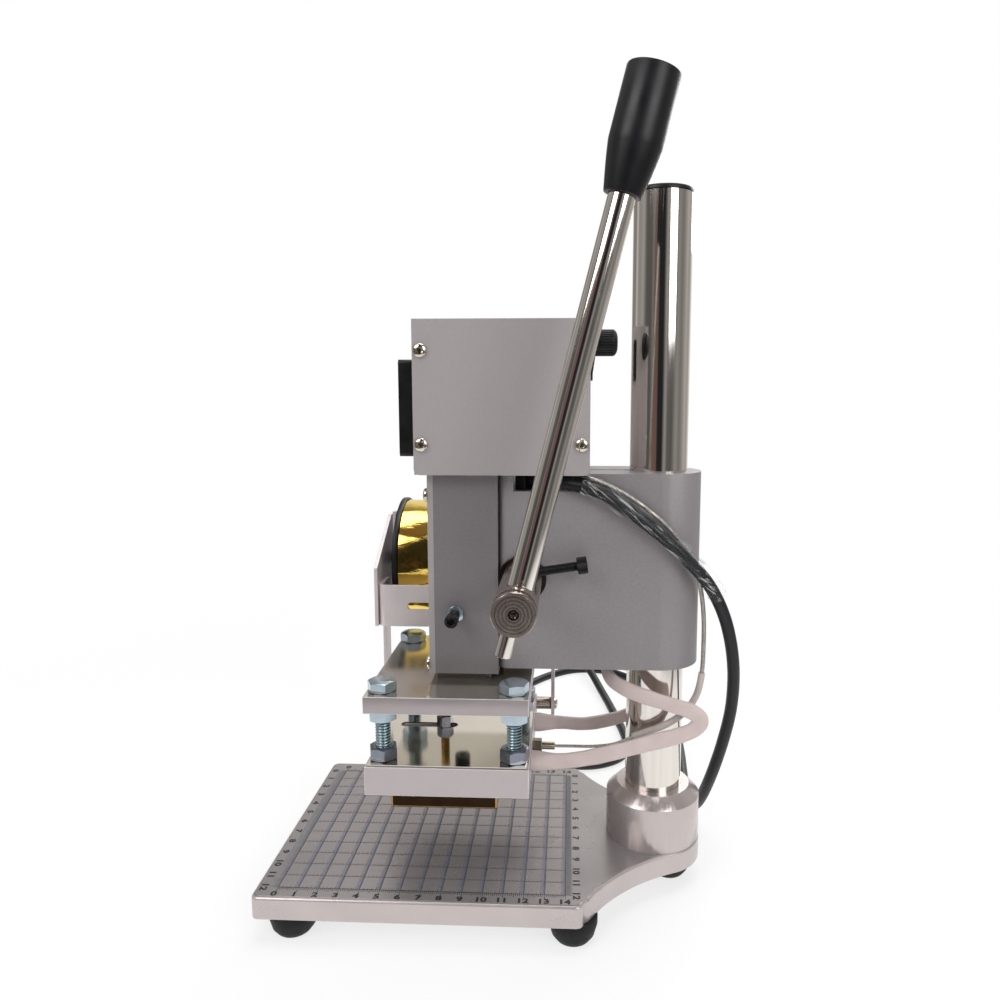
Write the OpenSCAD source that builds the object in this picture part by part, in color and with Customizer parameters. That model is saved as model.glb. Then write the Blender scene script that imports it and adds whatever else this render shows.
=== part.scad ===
// Hot foil stamping machine: a lever press on a round column, with a heated plate, a brass die,
// a foil roll on its left side and a temperature control box on top.
// The operator stands in front, at -Y. +X is the lever side and +Z is up, in millimetres.

/* [Base] */
// Width of the work table
table_w = 140; // [110:1:180]
// Length of the work table
table_len = 160; // [130:1:180]
// Length of the base from its front edge to the end of the tongue
base_depth = 224; // [210:1:280]
// Thickness of the base plate
base_t = 11; // [9:0.5:20]
// Corner radius of the work table
table_corner_r = 4; // [1:0.5:10]
// Thickness of the printed film on the work table
film_t = 0.15; // [0.1:0.05:0.5]
// Distance of the film from the table's edges
film_inset = 1.5; // [1:0.5:6]
// Radius of the round tongue that carries the column
tongue_r = 25.4; // [22:0.2:34]
// Radius of the hollow flanks between table and tongue
flank_r = 95; // [70:1:130]
// Direction of a flank's centre, seen from the column
flank_angle = 22.6; // [16:0.2:30]
// Height of the rubber feet
foot_h = 13; // [9:0.5:20]
// Diameter of the rubber feet
foot_d = 24; // [18:0.5:32]
// Distance of the feet from the table's side edges
foot_inset_x = 13; // [13:0.5:24]
// Distance of the front feet from the table's front edge
front_foot_inset = 17; // [13:0.5:26]
// Distance of the rear feet from the table's rear edge
rear_foot_inset = 5; // [5:0.5:26]
// Distance of the tongue's foot behind the column axis
tongue_foot_offset = 9.4; // [9.4:0.1:12]

/* [Column] */
// Diameter of the column
column_d = 30; // [24:0.5:34]
// Wall of the column tube
column_wall = 3; // [2:0.25:5]
// Height of the column above the table
column_h = 338.7; // [310:0.1:420]
// Thickness of the cap's visible rim
cap_t = 2.2; // [1:0.1:6]
// Diameter of the collar at the column's foot
collar_d = 50; // [44:0.5:60]
// Height of the collar
collar_h = 29; // [18:0.5:45]
// Chamfer at the collar's top
collar_chamfer = 5.5; // [1:0.25:8]

/* [Arm] */
// Width of the arm and its boss
arm_w = 44; // [42:0.5:47]
// Height of the arm
arm_h = 101; // [97:0.5:125]
// Height of the arm's underside above the table
arm_lift = 98.5; // [98:0.5:130]
// Radius of the arm's front edges
arm_edge_r = 5; // [2:0.25:7]
// Distance from the column axis to the lever shaft
shaft_gap = 70; // [68:0.5:90]
// Height of the lever shaft above the arm's underside
shaft_rise = 47.5; // [44:0.5:51]
// Width of the clamp slit
slit_w = 3; // [1.5:0.25:5]
// Height of the cable notch under the control box
notch_h = 9; // [8:0.25:12]
// Clearance between column and boss
slide_clear = 0.06; // [0.02:0.01:0.1]

/* [Rack and pinion] */
// Module of the teeth
gear_module = 1.5; // [1.25:0.05:1.6]
// Number of pinion teeth
gear_teeth = 20; // [18:1:20]
// Width of the pinion
gear_w = 14; // [10:0.5:15]
// Play between the teeth at the pitch line
gear_play = 0.3; // [0.2:0.05:0.5]
// Width of the rack
rack_w = 15; // [10:0.5:15.5]
// Turn of the lever over the whole stroke
lever_travel = 120; // [60:1:120]

/* [Ram housing] */
// Width of the housing
housing_w = 48; // [46:0.5:56]
// Depth of the housing without its front cover
housing_d = 32.6; // [30:0.2:42]
// Wall of the housing
housing_wall = 4; // [3.5:0.25:5]
// Thickness of the front cover
cover_t = 3; // [2:0.25:5]
// How far the housing hangs below the arm
housing_drop = 2.5; // [0:0.25:6]
// Depth of the rack's pitch line inside the housing's rear face
rack_cover = 2.6; // [2.2:0.1:3.4]
// Gap between the ram and the housing walls
ram_clear = 0.3; // [0.1:0.05:0.6]
// Diameter of the brake screw
brake_d = 5; // [4:0.5:8]
// How far the brake screw stands out of the housing
brake_reach = 16; // [13:0.5:24]

/* [Plates and die] */
// Length of the plates, front to rear
plate_len = 81; // [76:0.5:95]
// Width of the plates, side to side
plate_w = 100; // [94:0.5:104]
// Distance of the plates' centre in front of the ram's centre
plate_shift = 5.4; // [0:0.2:10]
// Thickness of the upper plate
plate_t = 8.5; // [8:0.25:12]
// Gap between the upper plate and the housing
ram_gap = 3.2; // [2:0.1:6]
// Gap between the plates
plate_gap = 27.3; // [24:0.1:27.8]
// Thickness of the heater block
heater_t = 14.5; // [13:0.25:15]
// Thickness of the reflector sheet
reflector_t = 0.8; // [0.4:0.1:1.5]
// Thickness of the die holder
holder_t = 2; // [1:0.1:2.5]
// Length of the die, front to rear
die_len = 54; // [30:0.5:64]
// Width of the die, side to side
die_w = 84; // [40:0.5:88]
// Thickness of the die
die_t = 8.5; // [4:0.1:9]
// Diameter of the plate bolts
bolt_d = 8; // [6:0.5:10]
// Distance of the bolts from the plates' side edges
bolt_inset_x = 10; // [8.5:0.25:12]
// Distance of the bolts from the plates' front and rear edges
bolt_inset_y = 7.5; // [7:0.25:12]
// Diameter of the cartridge heaters
heater_d = 10; // [6:0.5:10]

/* [Lever] */
// Diameter of the lever shaft
shaft_d = 20; // [16:0.5:20]
// Distance of the shaft's outer end from the machine's middle
shaft_reach = 90; // [80:0.5:110]
// Distance of the lever rod from the shaft's outer end
rod_setback = 18; // [10:0.5:26]
// Diameter of the lever rod
rod_d = 12; // [8:0.25:13]
// Diameter of the rod's thinner lower end
rod_tail_d = 7.5; // [5:0.25:8]
// Length of the rod below the shaft axis
rod_below = 25; // [14:0.5:40]
// Length from the shaft axis to the grip
rod_above = 181; // [140:1:230]
// Backward lean of the lever at rest
lever_lean = 14.3; // [5:0.1:25]
// Length of the grip
grip_len = 51; // [40:1:90]
// Diameter of the grip at its lower end
grip_d0 = 16.5; // [14:0.25:20]
// Diameter of the grip's straight upper part
grip_d1 = 23.25; // [18:0.25:30]
// Length of the grip's tapered lower part
grip_taper = 21; // [10:1:36]

/* [Control box] */
// Width of the control box
box_w = 64; // [62:0.5:80]
// Length of the control box
box_len = 86.3; // [84:0.1:98]
// Height of the control box
box_h = 75.5; // [73:0.5:95]
// Thickness of the box sheet
sheet_t = 1.5; // [1:0.1:1.6]
// How far the box stands in front of the housing's cover
box_front_overhang = 4.9; // [2:0.1:9]
// Side of the square controller bezel
bezel_size = 48; // [47:0.5:52]
// Thickness of the controller bezel
bezel_t = 8.5; // [6:0.25:12]
// Side of the controller's square case
case_size = 44.6; // [42:0.1:45.5]
// Diameter of the fuse cap
fuse_cap_d = 13; // [10:0.25:14]
// Length of the fuse cap
fuse_cap_len = 11.3; // [8:0.1:16]

/* [Foil holder] */
// Radius of the foil winding
foil_r = 36.5; // [25:0.5:41]
// Width of the foil winding
foil_w = 80; // [50:1:84]
// Radius of the black end discs
disc_r = 37.5; // [30:0.5:42.5]
// Thickness of the end discs
disc_t = 3; // [2:0.25:4]
// Outer radius of the cardboard core
core_r = 15; // [11:0.5:20]
// Diameter of the axle
axle_d = 8; // [6:0.5:10]
// Distance of the roll axis from the machine's middle
roll_reach = 71; // [70.5:0.5:80]
// Height of the roll axis above the arm's underside
roll_rise = 38.5; // [37:0.5:46]
// Thickness of the foil holder's sheet
holder_sheet = 2; // [1.5:0.1:2.5]
// Diameter of the foil guide bar
guide_d = 7.5; // [5:0.25:9]

/* [Cords] */
// Diameter of the mains cord
cord_d = 6.5; // [6:0.1:6.6]
// Diameter of the sleeved heater leads
sleeve_d = 7.6; // [5:0.1:7.8]
// Diameter of the thermocouple lead
thermo_d = 3.2; // [2.5:0.1:3.4]

/* [Hidden] */
$fn = 64;

// Radial clearance of screws, pins and inserts in their holes
fit = 0.05;
// Clearance of pieces that turn or press in one another
run = 0.06;
// Radial clearance of screws in the plates and sheets that they hold
hole_clear = 0.2;

// Heights and places of the base and column
table_z = foot_h + base_t;
front_y = -base_depth / 2;
table_rear_y = front_y + table_len;
column_y = base_depth / 2 - tongue_r;
column_r = column_d / 2;
bore_r = column_r + slide_clear;
film_corner_r = 3;
flank_join = 0.02;
flank_reach = tongue_r + flank_r - flank_join;
flank_x = flank_reach * cos(flank_angle);
flank_y = column_y + flank_reach * sin(flank_angle);
flank_end_r = tongue_r - 2 * flank_join;
flank_end = flank_end_r * [cos(flank_angle), sin(flank_angle)];
foot_places = [
    for (sx = [-1, 1])
        for (y = [front_y + front_foot_inset, table_rear_y - rear_foot_inset])
            [sx * (table_w / 2 - foot_inset_x), y],
    [0, column_y + tongue_foot_offset]];
foot_screw_r = 2.2;
foot_head_r = 4;
foot_recess_r = foot_head_r + 0.5;
foot_screw_wall = 3;
foot_head_h = 3.5;
foot_recess_h = 5;
cap_plug = 8;
cap_edge = 0.6;
anchor_h = 25;
anchor_bolt_r = 4;
anchor_head_r = 6;
anchor_head_clear = 0.4;
anchor_head_h = 5.8;
anchor_seat_h = 6;
collar_screw_r = 3;
collar_screw_rise = 12;
collar_screw_z = table_z + collar_screw_rise;
collar_screw_sink = 0.6;

// Places of the arm, shaft, rack and housing
arm_r = arm_w / 2;
arm_z0 = table_z + arm_lift;
arm_z1 = arm_z0 + arm_h;
shaft_y = column_y - shaft_gap;
shaft_z = arm_z0 + shaft_rise;
shaft_r = shaft_d / 2;
pitch_r = gear_module * gear_teeth / 2;
tooth_pitch = PI * gear_module;
stroke = pitch_r * lever_travel * PI / 180;
rack_y = shaft_y - pitch_r;
housing_y1 = rack_y + rack_cover;
housing_y0 = housing_y1 - housing_d;
cover_y0 = housing_y0 - cover_t;
housing_z0 = arm_z0 - housing_drop;
housing_hw = housing_w / 2;
inner_hw = housing_hw - housing_wall;
rack_clear = 0.6;
slot_hw = rack_w / 2 + rack_clear;
pinion_clear = 1;
cavity_hw = gear_w / 2 + pinion_clear;
bush_wall = 1.2;
bush_r = shaft_r + bush_wall;
bush_flange_r = bush_r + 1;
bush_flange_t = 2.5;
duct_hw = 12;
duct_y0 = shaft_y + pitch_r + gear_module + 2.9;
duct_y1 = duct_y0 + 12;
mouth_h = 15;
mouth_wall = 6;
mouth_y1 = column_y - column_r - mouth_wall;
notch_y0 = shaft_y - 4.6;
notch_y1 = duct_y1 + 1;
clamp_y = (duct_y1 + column_y - column_r) / 2;
clamp_screw_r = 3;
clamp_head_r = 5;
clamp_head_h = 5.8;
clamp_seat_clear = 0.4;
clamp_end_wall = 8;
clamp_inset = 25;
clamp_levels = [arm_z0 + clamp_inset, arm_z1 - clamp_inset];
wall_screw_r = 2.5;
wall_screw_x = (slot_hw + inner_hw) / 2;
wall_screw_levels = [housing_z0 + 12, arm_z1 - 13];
wall_screw_len = 16;
pan_r = 3.5;
pan_h = 2.3;
pan_screw_r = 1.5;
cover_screw_x = housing_hw - housing_wall / 2;
cover_screw_levels = [housing_z0 + 5, arm_z1 - 11];
brake_y = housing_y0 + 10.7;
brake_z = housing_z0 + 31.9;
brake_r = brake_d / 2;
brake_pad_r = brake_r + 1;
brake_end = housing_hw + brake_reach;
brake_head_r = brake_r + 0.9;
brake_head_h = 5;
brake_socket = 3;

// Places of the ram, plates and die
ram_hw = inner_hw - ram_clear;
ram_y0 = housing_y0 + ram_clear;
ram_y1 = housing_y1 - housing_wall - ram_clear;
ram_y = (ram_y0 + ram_y1) / 2;
rack_margin = 14.5;
rack_back_y = ram_y1 - 8;
rack_z0 = shaft_z - rack_margin;
ram_top_gap = 7.6;
ram_slot_clear = 2;
ram_z1 = arm_z1 - ram_top_gap;
plate_z1 = housing_z0 - ram_gap;
plate_z0 = plate_z1 - plate_t;
heater_z1 = plate_z0 - plate_gap;
heater_z0 = heater_z1 - heater_t;
heater_z = (heater_z0 + heater_z1) / 2;
holder_z0 = heater_z0 - holder_t;
die_z0 = holder_z0 - die_t;
plate_y = ram_y - plate_shift;
plate_y0 = plate_y - plate_len / 2;
plate_y1 = plate_y + plate_len / 2;
bolt_x = plate_w / 2 - bolt_inset_x;
bolt_dy = plate_len / 2 - bolt_inset_y;
bolt_places = [for (sx = [-1, 1]) for (sy = [-1, 1]) [sx * bolt_x, plate_y + sy * bolt_dy]];
bolt_r = bolt_d / 2;
hex_r = bolt_d * 0.94;
bolt_head_h = bolt_d * 0.66;
nut_h = bolt_d * 0.8;
bolt_depth = 9;
ram_screw_r = 2.5;
ram_screw_head_r = 4.25;
ram_screw_head_h = 5;
ram_screw_x = 10;
ram_screw_depth = 17;
rack_screw_inset = 12;
rack_screw_levels = [rack_z0 + rack_screw_inset, ram_z1 - rack_screw_inset];
rack_screw_head_h = 3.5;
rack_screw_seat = 4;
slot_w = 6;
slot_ends = [plate_y - 32.5, plate_y - 1];
slot_depth = 7;
slot_screw_y = plate_y - 8;
slot_screw_r = 2.5;
slot_screw_top_gap = 3.3;
slot_nut_r = 4.6;
slot_nut_h = 6;
sheet_inset = 1;
holder_inset = 4;
holder_front_inset = 6;
holder_rear_inset = 10;
die_y = plate_y - 2.5;
heater_x = [24, -25];
heater_len = 73;
heater_stub = 2;
heater_r = heater_d / 2;
probe_x = 6;
probe_r = 2.5;
probe_depth = 18;
probe_hex_r = 4;
probe_hex_t = 5;
probe_tail_r = 2;
probe_tail = 7;

// Places of the lever
rod_x = shaft_reach - rod_setback;
rod_r = rod_d / 2;
rod_tail_r = rod_tail_d / 2;
rod_seat = 4;
rod_in_grip = grip_len - 12;
grip_edge = 0.8;
lock_x = arm_r + 8;
lock_rise = 4;
lock_angle = 9;
lock_r = 2.5;
lock_tip = 33;
lock_head_h = 5;
lock_head_r = 4.25;
set_r = 2.5;
set_tip_gap = 0.2;
set_sunk = 0.8;
end_chamfer = 0.6;
end_groove_at = 5.6;
end_groove_w = 1.6;
end_groove_deep = 0.6;
clip_groove_deep = 1;
clip_t = 1.5;
clip_x = arm_r + bush_flange_t + 0.2;
shaft_far = clip_x + clip_t + 1.3;

// Places of the control box
box_hw = box_w / 2;
box_y0 = cover_y0 - box_front_overhang;
box_y1 = box_y0 + box_len;
box_z0 = arm_z1;
box_z1 = box_z0 + box_h;
cover_x0 = box_hw - sheet_t;
cover_corner_r = 3;
flange_w = 9;
box_screw_inset_y = 4;
box_screw_inset_z = 15;
bezel_y0 = box_y0 - bezel_t;
controller_rise = 32.5;
controller_z = box_z0 + controller_rise;
case_depth = 55;
display_z = controller_z + 8;
display_size = [38, 20];
display_t = 1;
key_z = controller_z - 14;
key_xs = [-13, 0, 13];
key_size = [8, 5];
key_clear = 0.3;
key_stand = 1.2;
key_depth = 3;
key_travel = 0.8;
fuse_x = 20;
fuse_z = box_z1 - 11;
fuse_body_r = 5.5;
fuse_rim_r = 7.2;
fuse_rim_t = 2;
fuse_stem_r = 3.5;
fuse_depth = 24;
switch_x = -12;
switch_z = box_z1 - 18;
switch_body = [13, 19];
switch_rim = [16, 22];
switch_rim_t = 2;
switch_depth = 14;
rocker_size = [9.4, 15];
rocker_t = 5;
rocker_tilt = 8;
rocker_pin_r = 1;
rocker_y = box_y1 + 0.6;
relay_gap = 4;
relay_h = 40;

// Places of the foil holder
roll_x = -roll_reach;
roll_z = arm_z0 + roll_rise;
roll_y0 = housing_y0 - 32;
roll_y1 = roll_y0 + foil_w;
disc_gap = 0.4;
core_wall = 2;
hub_r = core_r - core_wall - fit;
hub_len = 10;
axle_end = 5;
axle_r = axle_d / 2;
bracket_x1 = -housing_hw;
bracket_x0 = bracket_x1 - holder_sheet;
bracket_z0 = arm_z0 + 7.5;
bracket_h = 24;
bracket_z1 = bracket_z0 + bracket_h;
bracket_screw_inset = 6;
tab_screw_levels = [bracket_z0 + bracket_screw_inset, bracket_z1 - bracket_screw_inset];
tab_reach = 20;
bracket_bend_r = 4;
tab_y0 = roll_y0 - disc_t - 6;
tab_y1 = roll_y1 + disc_t + 5;
ear_y0 = tab_y0 - holder_sheet;
ear_y1 = tab_y1 + holder_sheet;
ear_top = 28;
ear_shoulder = 34;
ear_crown = [-10, 8];
ear_near = bracket_x1;
ear_far = roll_x - 21;
strip_w = 12;
guide_x = -plate_w / 2 - 8;
guide_z = heater_z0 + 5.5;
guide_r = guide_d / 2;
strip_screw_z = bracket_z0 + 4;
strip_z1 = strip_screw_z + 5;
strip_z0 = guide_z - 6;
small_screw_r = 2;
small_head_r = 3.6;
small_head_h = 2;
bracket_slot_w = 4.2;
bracket_slot_len = 20;
bracket_slot_y = housing_y0 - 12;
bracket_screw_ys = [housing_y0 + 8, housing_y1 - 8];

// The machine's middle lies off the origin, because the roll reaches further out than the lever
far_reach = roll_reach + disc_r;
mid_x = (far_reach - shaft_reach) / 2;

// Route of the mains cord: out of the notch, down behind the column and along the floor
cord_r = cord_d / 2;
cord_route = [[13, 20.5, 219], [16, 26, 219], [20, 32.5, 219], [24.5, 40.5, 219], [27.2, 49, 217],
    [27.2, 60, 212.5], [27.2, 72, 204], [27.2, 85, 194], [26, 98, 182], [21, 111, 167], [14, 121, 147],
    [7, 127, 122], [-1, 128.5, 96], [-10, 126, 70], [-22, 121.5, 42], [-38, 118, 20], [-60, 116.5, 7.5],
    [-92, 118, 4], [-170, 123, 3.5], [-245, 115, 3.5], [-283, 100, 3.5],
    [-307, 76, 3.5], [-310, 48, 3.5], [-292, 22, 3.5], [-262, 0, 3.5], [-228, -20, 3.5], [-192, -32, 3.5],
    [-160, -26, 3.5], [-138, -2, 3.5], [-122, 30, 3.5], [-111, 56, 3.5], [-122, 77, 3.5], [-150, 83, 3.5],
    [-198, 79, 3.5], [-250, 70, 4.4], [-308, 54, 10.4], [-340, 28, 6],
    [-348, 2, 6], [-349, -20, 8], [-349, -34, 8]];
cord_clamp_at = [13, shaft_y + 3.9];
cord_clamp_turn = -28.6;
cord_clamp_size = [12, 6];
plug_at = cord_route[len(cord_route) - 1];
plug_half = [9, 8];
plug_len = 34;
boot_len = 22;
pin_len = 18;

// Routes of the heater leads and of the thermocouple lead, from the heater block up to the arm and
// the control box, measured from the column axis and from the arm's underside or top
function placed(points, level) = [for (p = points) p + [0, column_y, level]];
near_points = [[24, -63.5, -48.8], [24, -50.6, -48.8], [24.5, -36.6, -46.5], [25.5, -20.6, -42],
    [26, -4.6, -37], [26, 9.4, -33], [26, 17.4, -29.5], [26, 20.9, -24.5], [26, 16.4, -20],
    [25.5, 5.4, -16.5], [25, -6.6, -13], [22.5, -15.6, -10.5], [18, -22.1, -8.3], [12.5, -25.6, -6],
    [8.7, -26.7, -2.2], [7.5, -26.8, 4], [7.5, -26.8, 11]];
far_points = [[-25, -63.5, -48.8], [-25, -50.6, -48.8], [-25.5, -36.6, -49.5], [-27, -20.6, -47],
    [-27.5, -6.6, -42], [-27, 3.4, -37], [-25.8, 9.4, -31.5], [-25, 10.6, -25.5], [-24, 6.9, -20.5],
    [-22.5, -1.6, -16.5], [-21, -9.6, -13], [-18.5, -17.1, -10], [-14, -22.9, -8], [-10.2, -25.8, -5.2],
    [-8, -26.7, -1.6], [-7.5, -26.8, 4], [-7.5, -26.8, 11]];
thermo_low = [[6, -53.5, -48.8], [6.5, -44.6, -48.5], [10, -32.6, -47], [15, -20.6, -44.5],
    [18.6, -8.6, -40.5], [18.8, 3.4, -35.5], [17.8, 13.4, -27.5], [17, 19.9, -16.5], [17, 22.4, -2.5],
    [17, 22.9, 11.5]];
thermo_high = [[16.6, 22.7, -74.5], [16.8, 21, -60.5], [18.8, 17.4, -46.5], [22.5, 10.4, -35.5],
    [25, 1.4, -25], [25.3, -10.6, -15], [25, -20.6, -8.7], [24.8, -29.6, -4.5], [24.3, -37.1, -2],
    [18, -43.6, -2.1], [9, -48.6, -2.1]];
lead_near = placed(near_points, arm_z0);
lead_far = placed(far_points, arm_z0);
thermo_route = concat(placed(thermo_low, arm_z0), placed(thermo_high, arm_z1));

// Moves a sub-part from the machine's middle plane to the part's own frame
module mid() translate([mid_x, 0, 0]) children();

// Block between two corners
module block(a, b) translate(a) cube(b - a);

// Round bars along X and along Y
module bar_x(r, x0, x1) translate([x0, 0, 0]) rotate([0, 90, 0]) cylinder(r = r, h = x1 - x0);
module bar_y(r, y0, y1) translate([0, y0, 0]) rotate([-90, 0, 0]) cylinder(r = r, h = y1 - y0);

// Outline in Y and Z, extruded from x0 to x1
module plate_yz(x0, x1) translate([x0, 0, 0]) rotate([90, 0, 90]) linear_extrude(x1 - x0) children();

// Outline in X and Z, extruded from y0 to y1
module plate_xz(y0, y1) translate([0, y1, 0]) rotate([90, 0, 0]) linear_extrude(y1 - y0) children();

// Rectangle with round corners, from exact arcs
module round_rect(a, b, r) {
    translate([a.x + r, a.y]) square([b.x - a.x - 2 * r, b.y - a.y]);
    translate([a.x, a.y + r]) square([b.x - a.x, b.y - a.y - 2 * r]);
    for (x = [a.x + r, b.x - r])
        for (y = [a.y + r, b.y - r])
            translate([x, y]) circle(r);
}

// Screw with a low conical head, pointing down from its seat at z = 0
module pan_screw(r, length, head_r, head_h) {
    cylinder(r1 = head_r, r2 = head_r * 0.72, h = head_h);
    translate([0, 0, -length]) cylinder(r = r - fit, h = length);
}

// Socket head screw, pointing down from its seat at z = 0
module socket_screw(r, length, head_r, head_h) {
    difference() {
        cylinder(r = head_r, h = head_h);
        translate([0, 0, head_h * 0.4]) cylinder(r = r * 0.95, h = head_h, $fn = 6);
    }
    translate([0, 0, -length]) cylinder(r = r - fit, h = length);
}

// Hexagon nut standing on z = 0
module hex_nut(r, across_r, height) difference() {
    cylinder(r = across_r, h = height, $fn = 6);
    translate([0, 0, -1]) cylinder(r = r + fit, h = height + 2);
}

// Tube swept along a route
function spline(p0, p1, p2, p3, t) = 0.5 * (2 * p1 + (p2 - p0) * t
    + (2 * p0 - 5 * p1 + 4 * p2 - p3) * t * t + (3 * p1 - p0 - 3 * p2 + p3) * t * t * t);
function point(pts, i) = pts[max(0, min(len(pts) - 1, i))];
function smooth(pts, steps) = [
    for (i = [0 : len(pts) - 2])
        for (k = [0 : steps - 1])
            spline(point(pts, i - 1), pts[i], pts[i + 1], point(pts, i + 2), k / steps),
    pts[len(pts) - 1]];
function unit(v) = v / norm(v);
function tangents(path) = [for (i = [0 : len(path) - 1]) unit(point(path, i + 1) - point(path, i - 1))];
function carry(dirs, side, i = 0, out = []) = i == len(dirs) ? out
    : let (next = unit(side - (side * dirs[i]) * dirs[i])) carry(dirs, next, i + 1, concat(out, [next]));
module tube(route, r, steps, sides) {
    path = smooth(route, steps);
    dirs = tangents(path);
    across = carry(dirs, [0, 0.1, 1]);
    rings = len(path);
    points = [for (i = [0 : rings - 1])
        for (k = [0 : sides - 1])
            let (angle = 360 * k / sides)
                path[i] + r * (cos(angle) * across[i] + sin(angle) * cross(dirs[i], across[i]))];
    last = (rings - 1) * sides;
    walls = [for (i = [0 : rings - 2])
        for (k = [0 : sides - 1])
            let (a = i * sides + k, b = i * sides + (k + 1) % sides)
                each [[a, a + sides, b + sides], [a, b + sides, b]]];
    caps = [for (k = [1 : sides - 2]) each [[0, k, k + 1], [last, last + k + 1, last + k]]];
    polyhedron(points, concat(walls, caps));
}

// Base

// Neck with hollow flanks, between the table and the tongue
module neck_outline() difference() {
    polygon([
        [-table_w / 2 + table_corner_r, table_rear_y - table_corner_r],
        [-table_w / 2 + table_corner_r, table_rear_y],
        [-flank_end.x, column_y + flank_end.y],
        [flank_end.x, column_y + flank_end.y],
        [table_w / 2 - table_corner_r, table_rear_y],
        [table_w / 2 - table_corner_r, table_rear_y - table_corner_r]]);
    for (sx = [-1, 1])
        translate([sx * flank_x, flank_y]) circle(flank_r, $fn = 128);
}

module base_plate() color("gainsboro") mid() difference() {
    translate([0, 0, foot_h]) union() {
        linear_extrude(base_t)
            round_rect([-table_w / 2, front_y], [table_w / 2, table_rear_y], table_corner_r);
        linear_extrude(base_t) neck_outline();
        translate([0, column_y, 0]) cylinder(r = tongue_r, h = base_t);
        linear_extrude(base_t + film_t)
            round_rect([-table_w / 2 + film_inset, front_y + film_inset],
                [table_w / 2 - film_inset, table_rear_y - film_inset], film_corner_r);
    }
    for (p = foot_places)
        translate([p.x, p.y, foot_h - 1]) cylinder(r = foot_screw_r, h = base_t - foot_screw_wall + 1);
    translate([0, column_y, foot_h - 1]) {
        cylinder(r = anchor_bolt_r + fit, h = base_t + 2);
        cylinder(r = anchor_head_r + anchor_head_clear, h = anchor_seat_h + 1);
    }
}

module rubber_feet() color("black") mid()
    for (p = foot_places)
        translate([p.x, p.y, 0]) rotate_extrude() polygon([
            [foot_recess_r, 0], [foot_d * 0.34, 0], [foot_d * 0.44, foot_h * 0.25],
            [foot_d / 2, foot_h * 0.65], [foot_d / 2, foot_h], [foot_screw_r, foot_h],
            [foot_screw_r, foot_recess_h], [foot_recess_r, foot_recess_h]]);

module base_screws() color("dimgray") mid() {
    for (p = foot_places)
        translate([p.x, p.y, foot_recess_h]) rotate([180, 0, 0])
            pan_screw(foot_screw_r, table_z - foot_recess_h - foot_screw_wall - 1, foot_head_r, foot_head_h);
    translate([0, column_y, foot_h + anchor_seat_h]) rotate([180, 0, 0])
        socket_screw(anchor_bolt_r, base_t - anchor_seat_h + anchor_h - 5, anchor_head_r, anchor_head_h);
    translate([0, column_y, collar_screw_z])
        bar_y(collar_screw_r - fit, column_r + fit, collar_d / 2 - collar_screw_sink);
}

module column() color("silver") mid() translate([0, column_y, table_z]) difference() {
    cylinder(r = column_r, h = column_h);
    translate([0, 0, -1]) cylinder(r = column_r - column_wall, h = column_h + 2);
}

module column_cap() color("black") mid() translate([0, column_y, table_z + column_h]) {
    plug_r = column_r - column_wall - fit;
    rotate_extrude() polygon([[0, -cap_plug], [plug_r, -cap_plug], [plug_r, 0], [column_r, 0],
        [column_r, cap_t - cap_edge], [column_r - cap_edge, cap_t], [0, cap_t]]);
}

module column_collar() color("lightgray") mid() translate([0, column_y, table_z]) difference() {
    rotate_extrude() polygon([[column_r + fit, 0], [collar_d / 2, 0],
        [collar_d / 2, collar_h - collar_chamfer],
        [collar_d / 2 - collar_chamfer, collar_h], [column_r + fit, collar_h]]);
    translate([0, 0, collar_screw_z - table_z]) bar_y(collar_screw_r, 0, collar_d);
}

module column_anchor() color("gray") mid() translate([0, column_y, table_z]) difference() {
    cylinder(r = column_r - column_wall - fit, h = anchor_h);
    translate([0, 0, -1]) cylinder(r = anchor_bolt_r, h = anchor_h + 2);
}

module mains_cord() color("black") mid() tube(cord_route, cord_r, 2, 10);

module mains_plug() color("black") mid() translate(plug_at) rotate([90, 0, 0]) {
    translate([0, 0, fit]) cylinder(r1 = cord_r + 0.6, r2 = cord_r + 2.2, h = boot_len);
    translate([0, 0, boot_len]) linear_extrude(plug_len)
        round_rect([-plug_half.x, -plug_half.y], [plug_half.x, plug_half.y], 5);
    for (sx = [-1, 1])
        translate([sx * 5, 0, boot_len + plug_len - 4]) cylinder(r = 2, h = pin_len + 4);
}

// Head

module arm_outline() {
    translate([0, column_y]) circle(arm_r);
    translate([-arm_r, housing_y1 + arm_edge_r]) square([arm_w, column_y - housing_y1 - arm_edge_r]);
    translate([-arm_r + arm_edge_r, housing_y1]) square([arm_w - 2 * arm_edge_r, arm_edge_r + 1]);
    for (sx = [-1, 1])
        translate([sx * (arm_r - arm_edge_r), housing_y1 + arm_edge_r]) circle(arm_edge_r);
}

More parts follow.
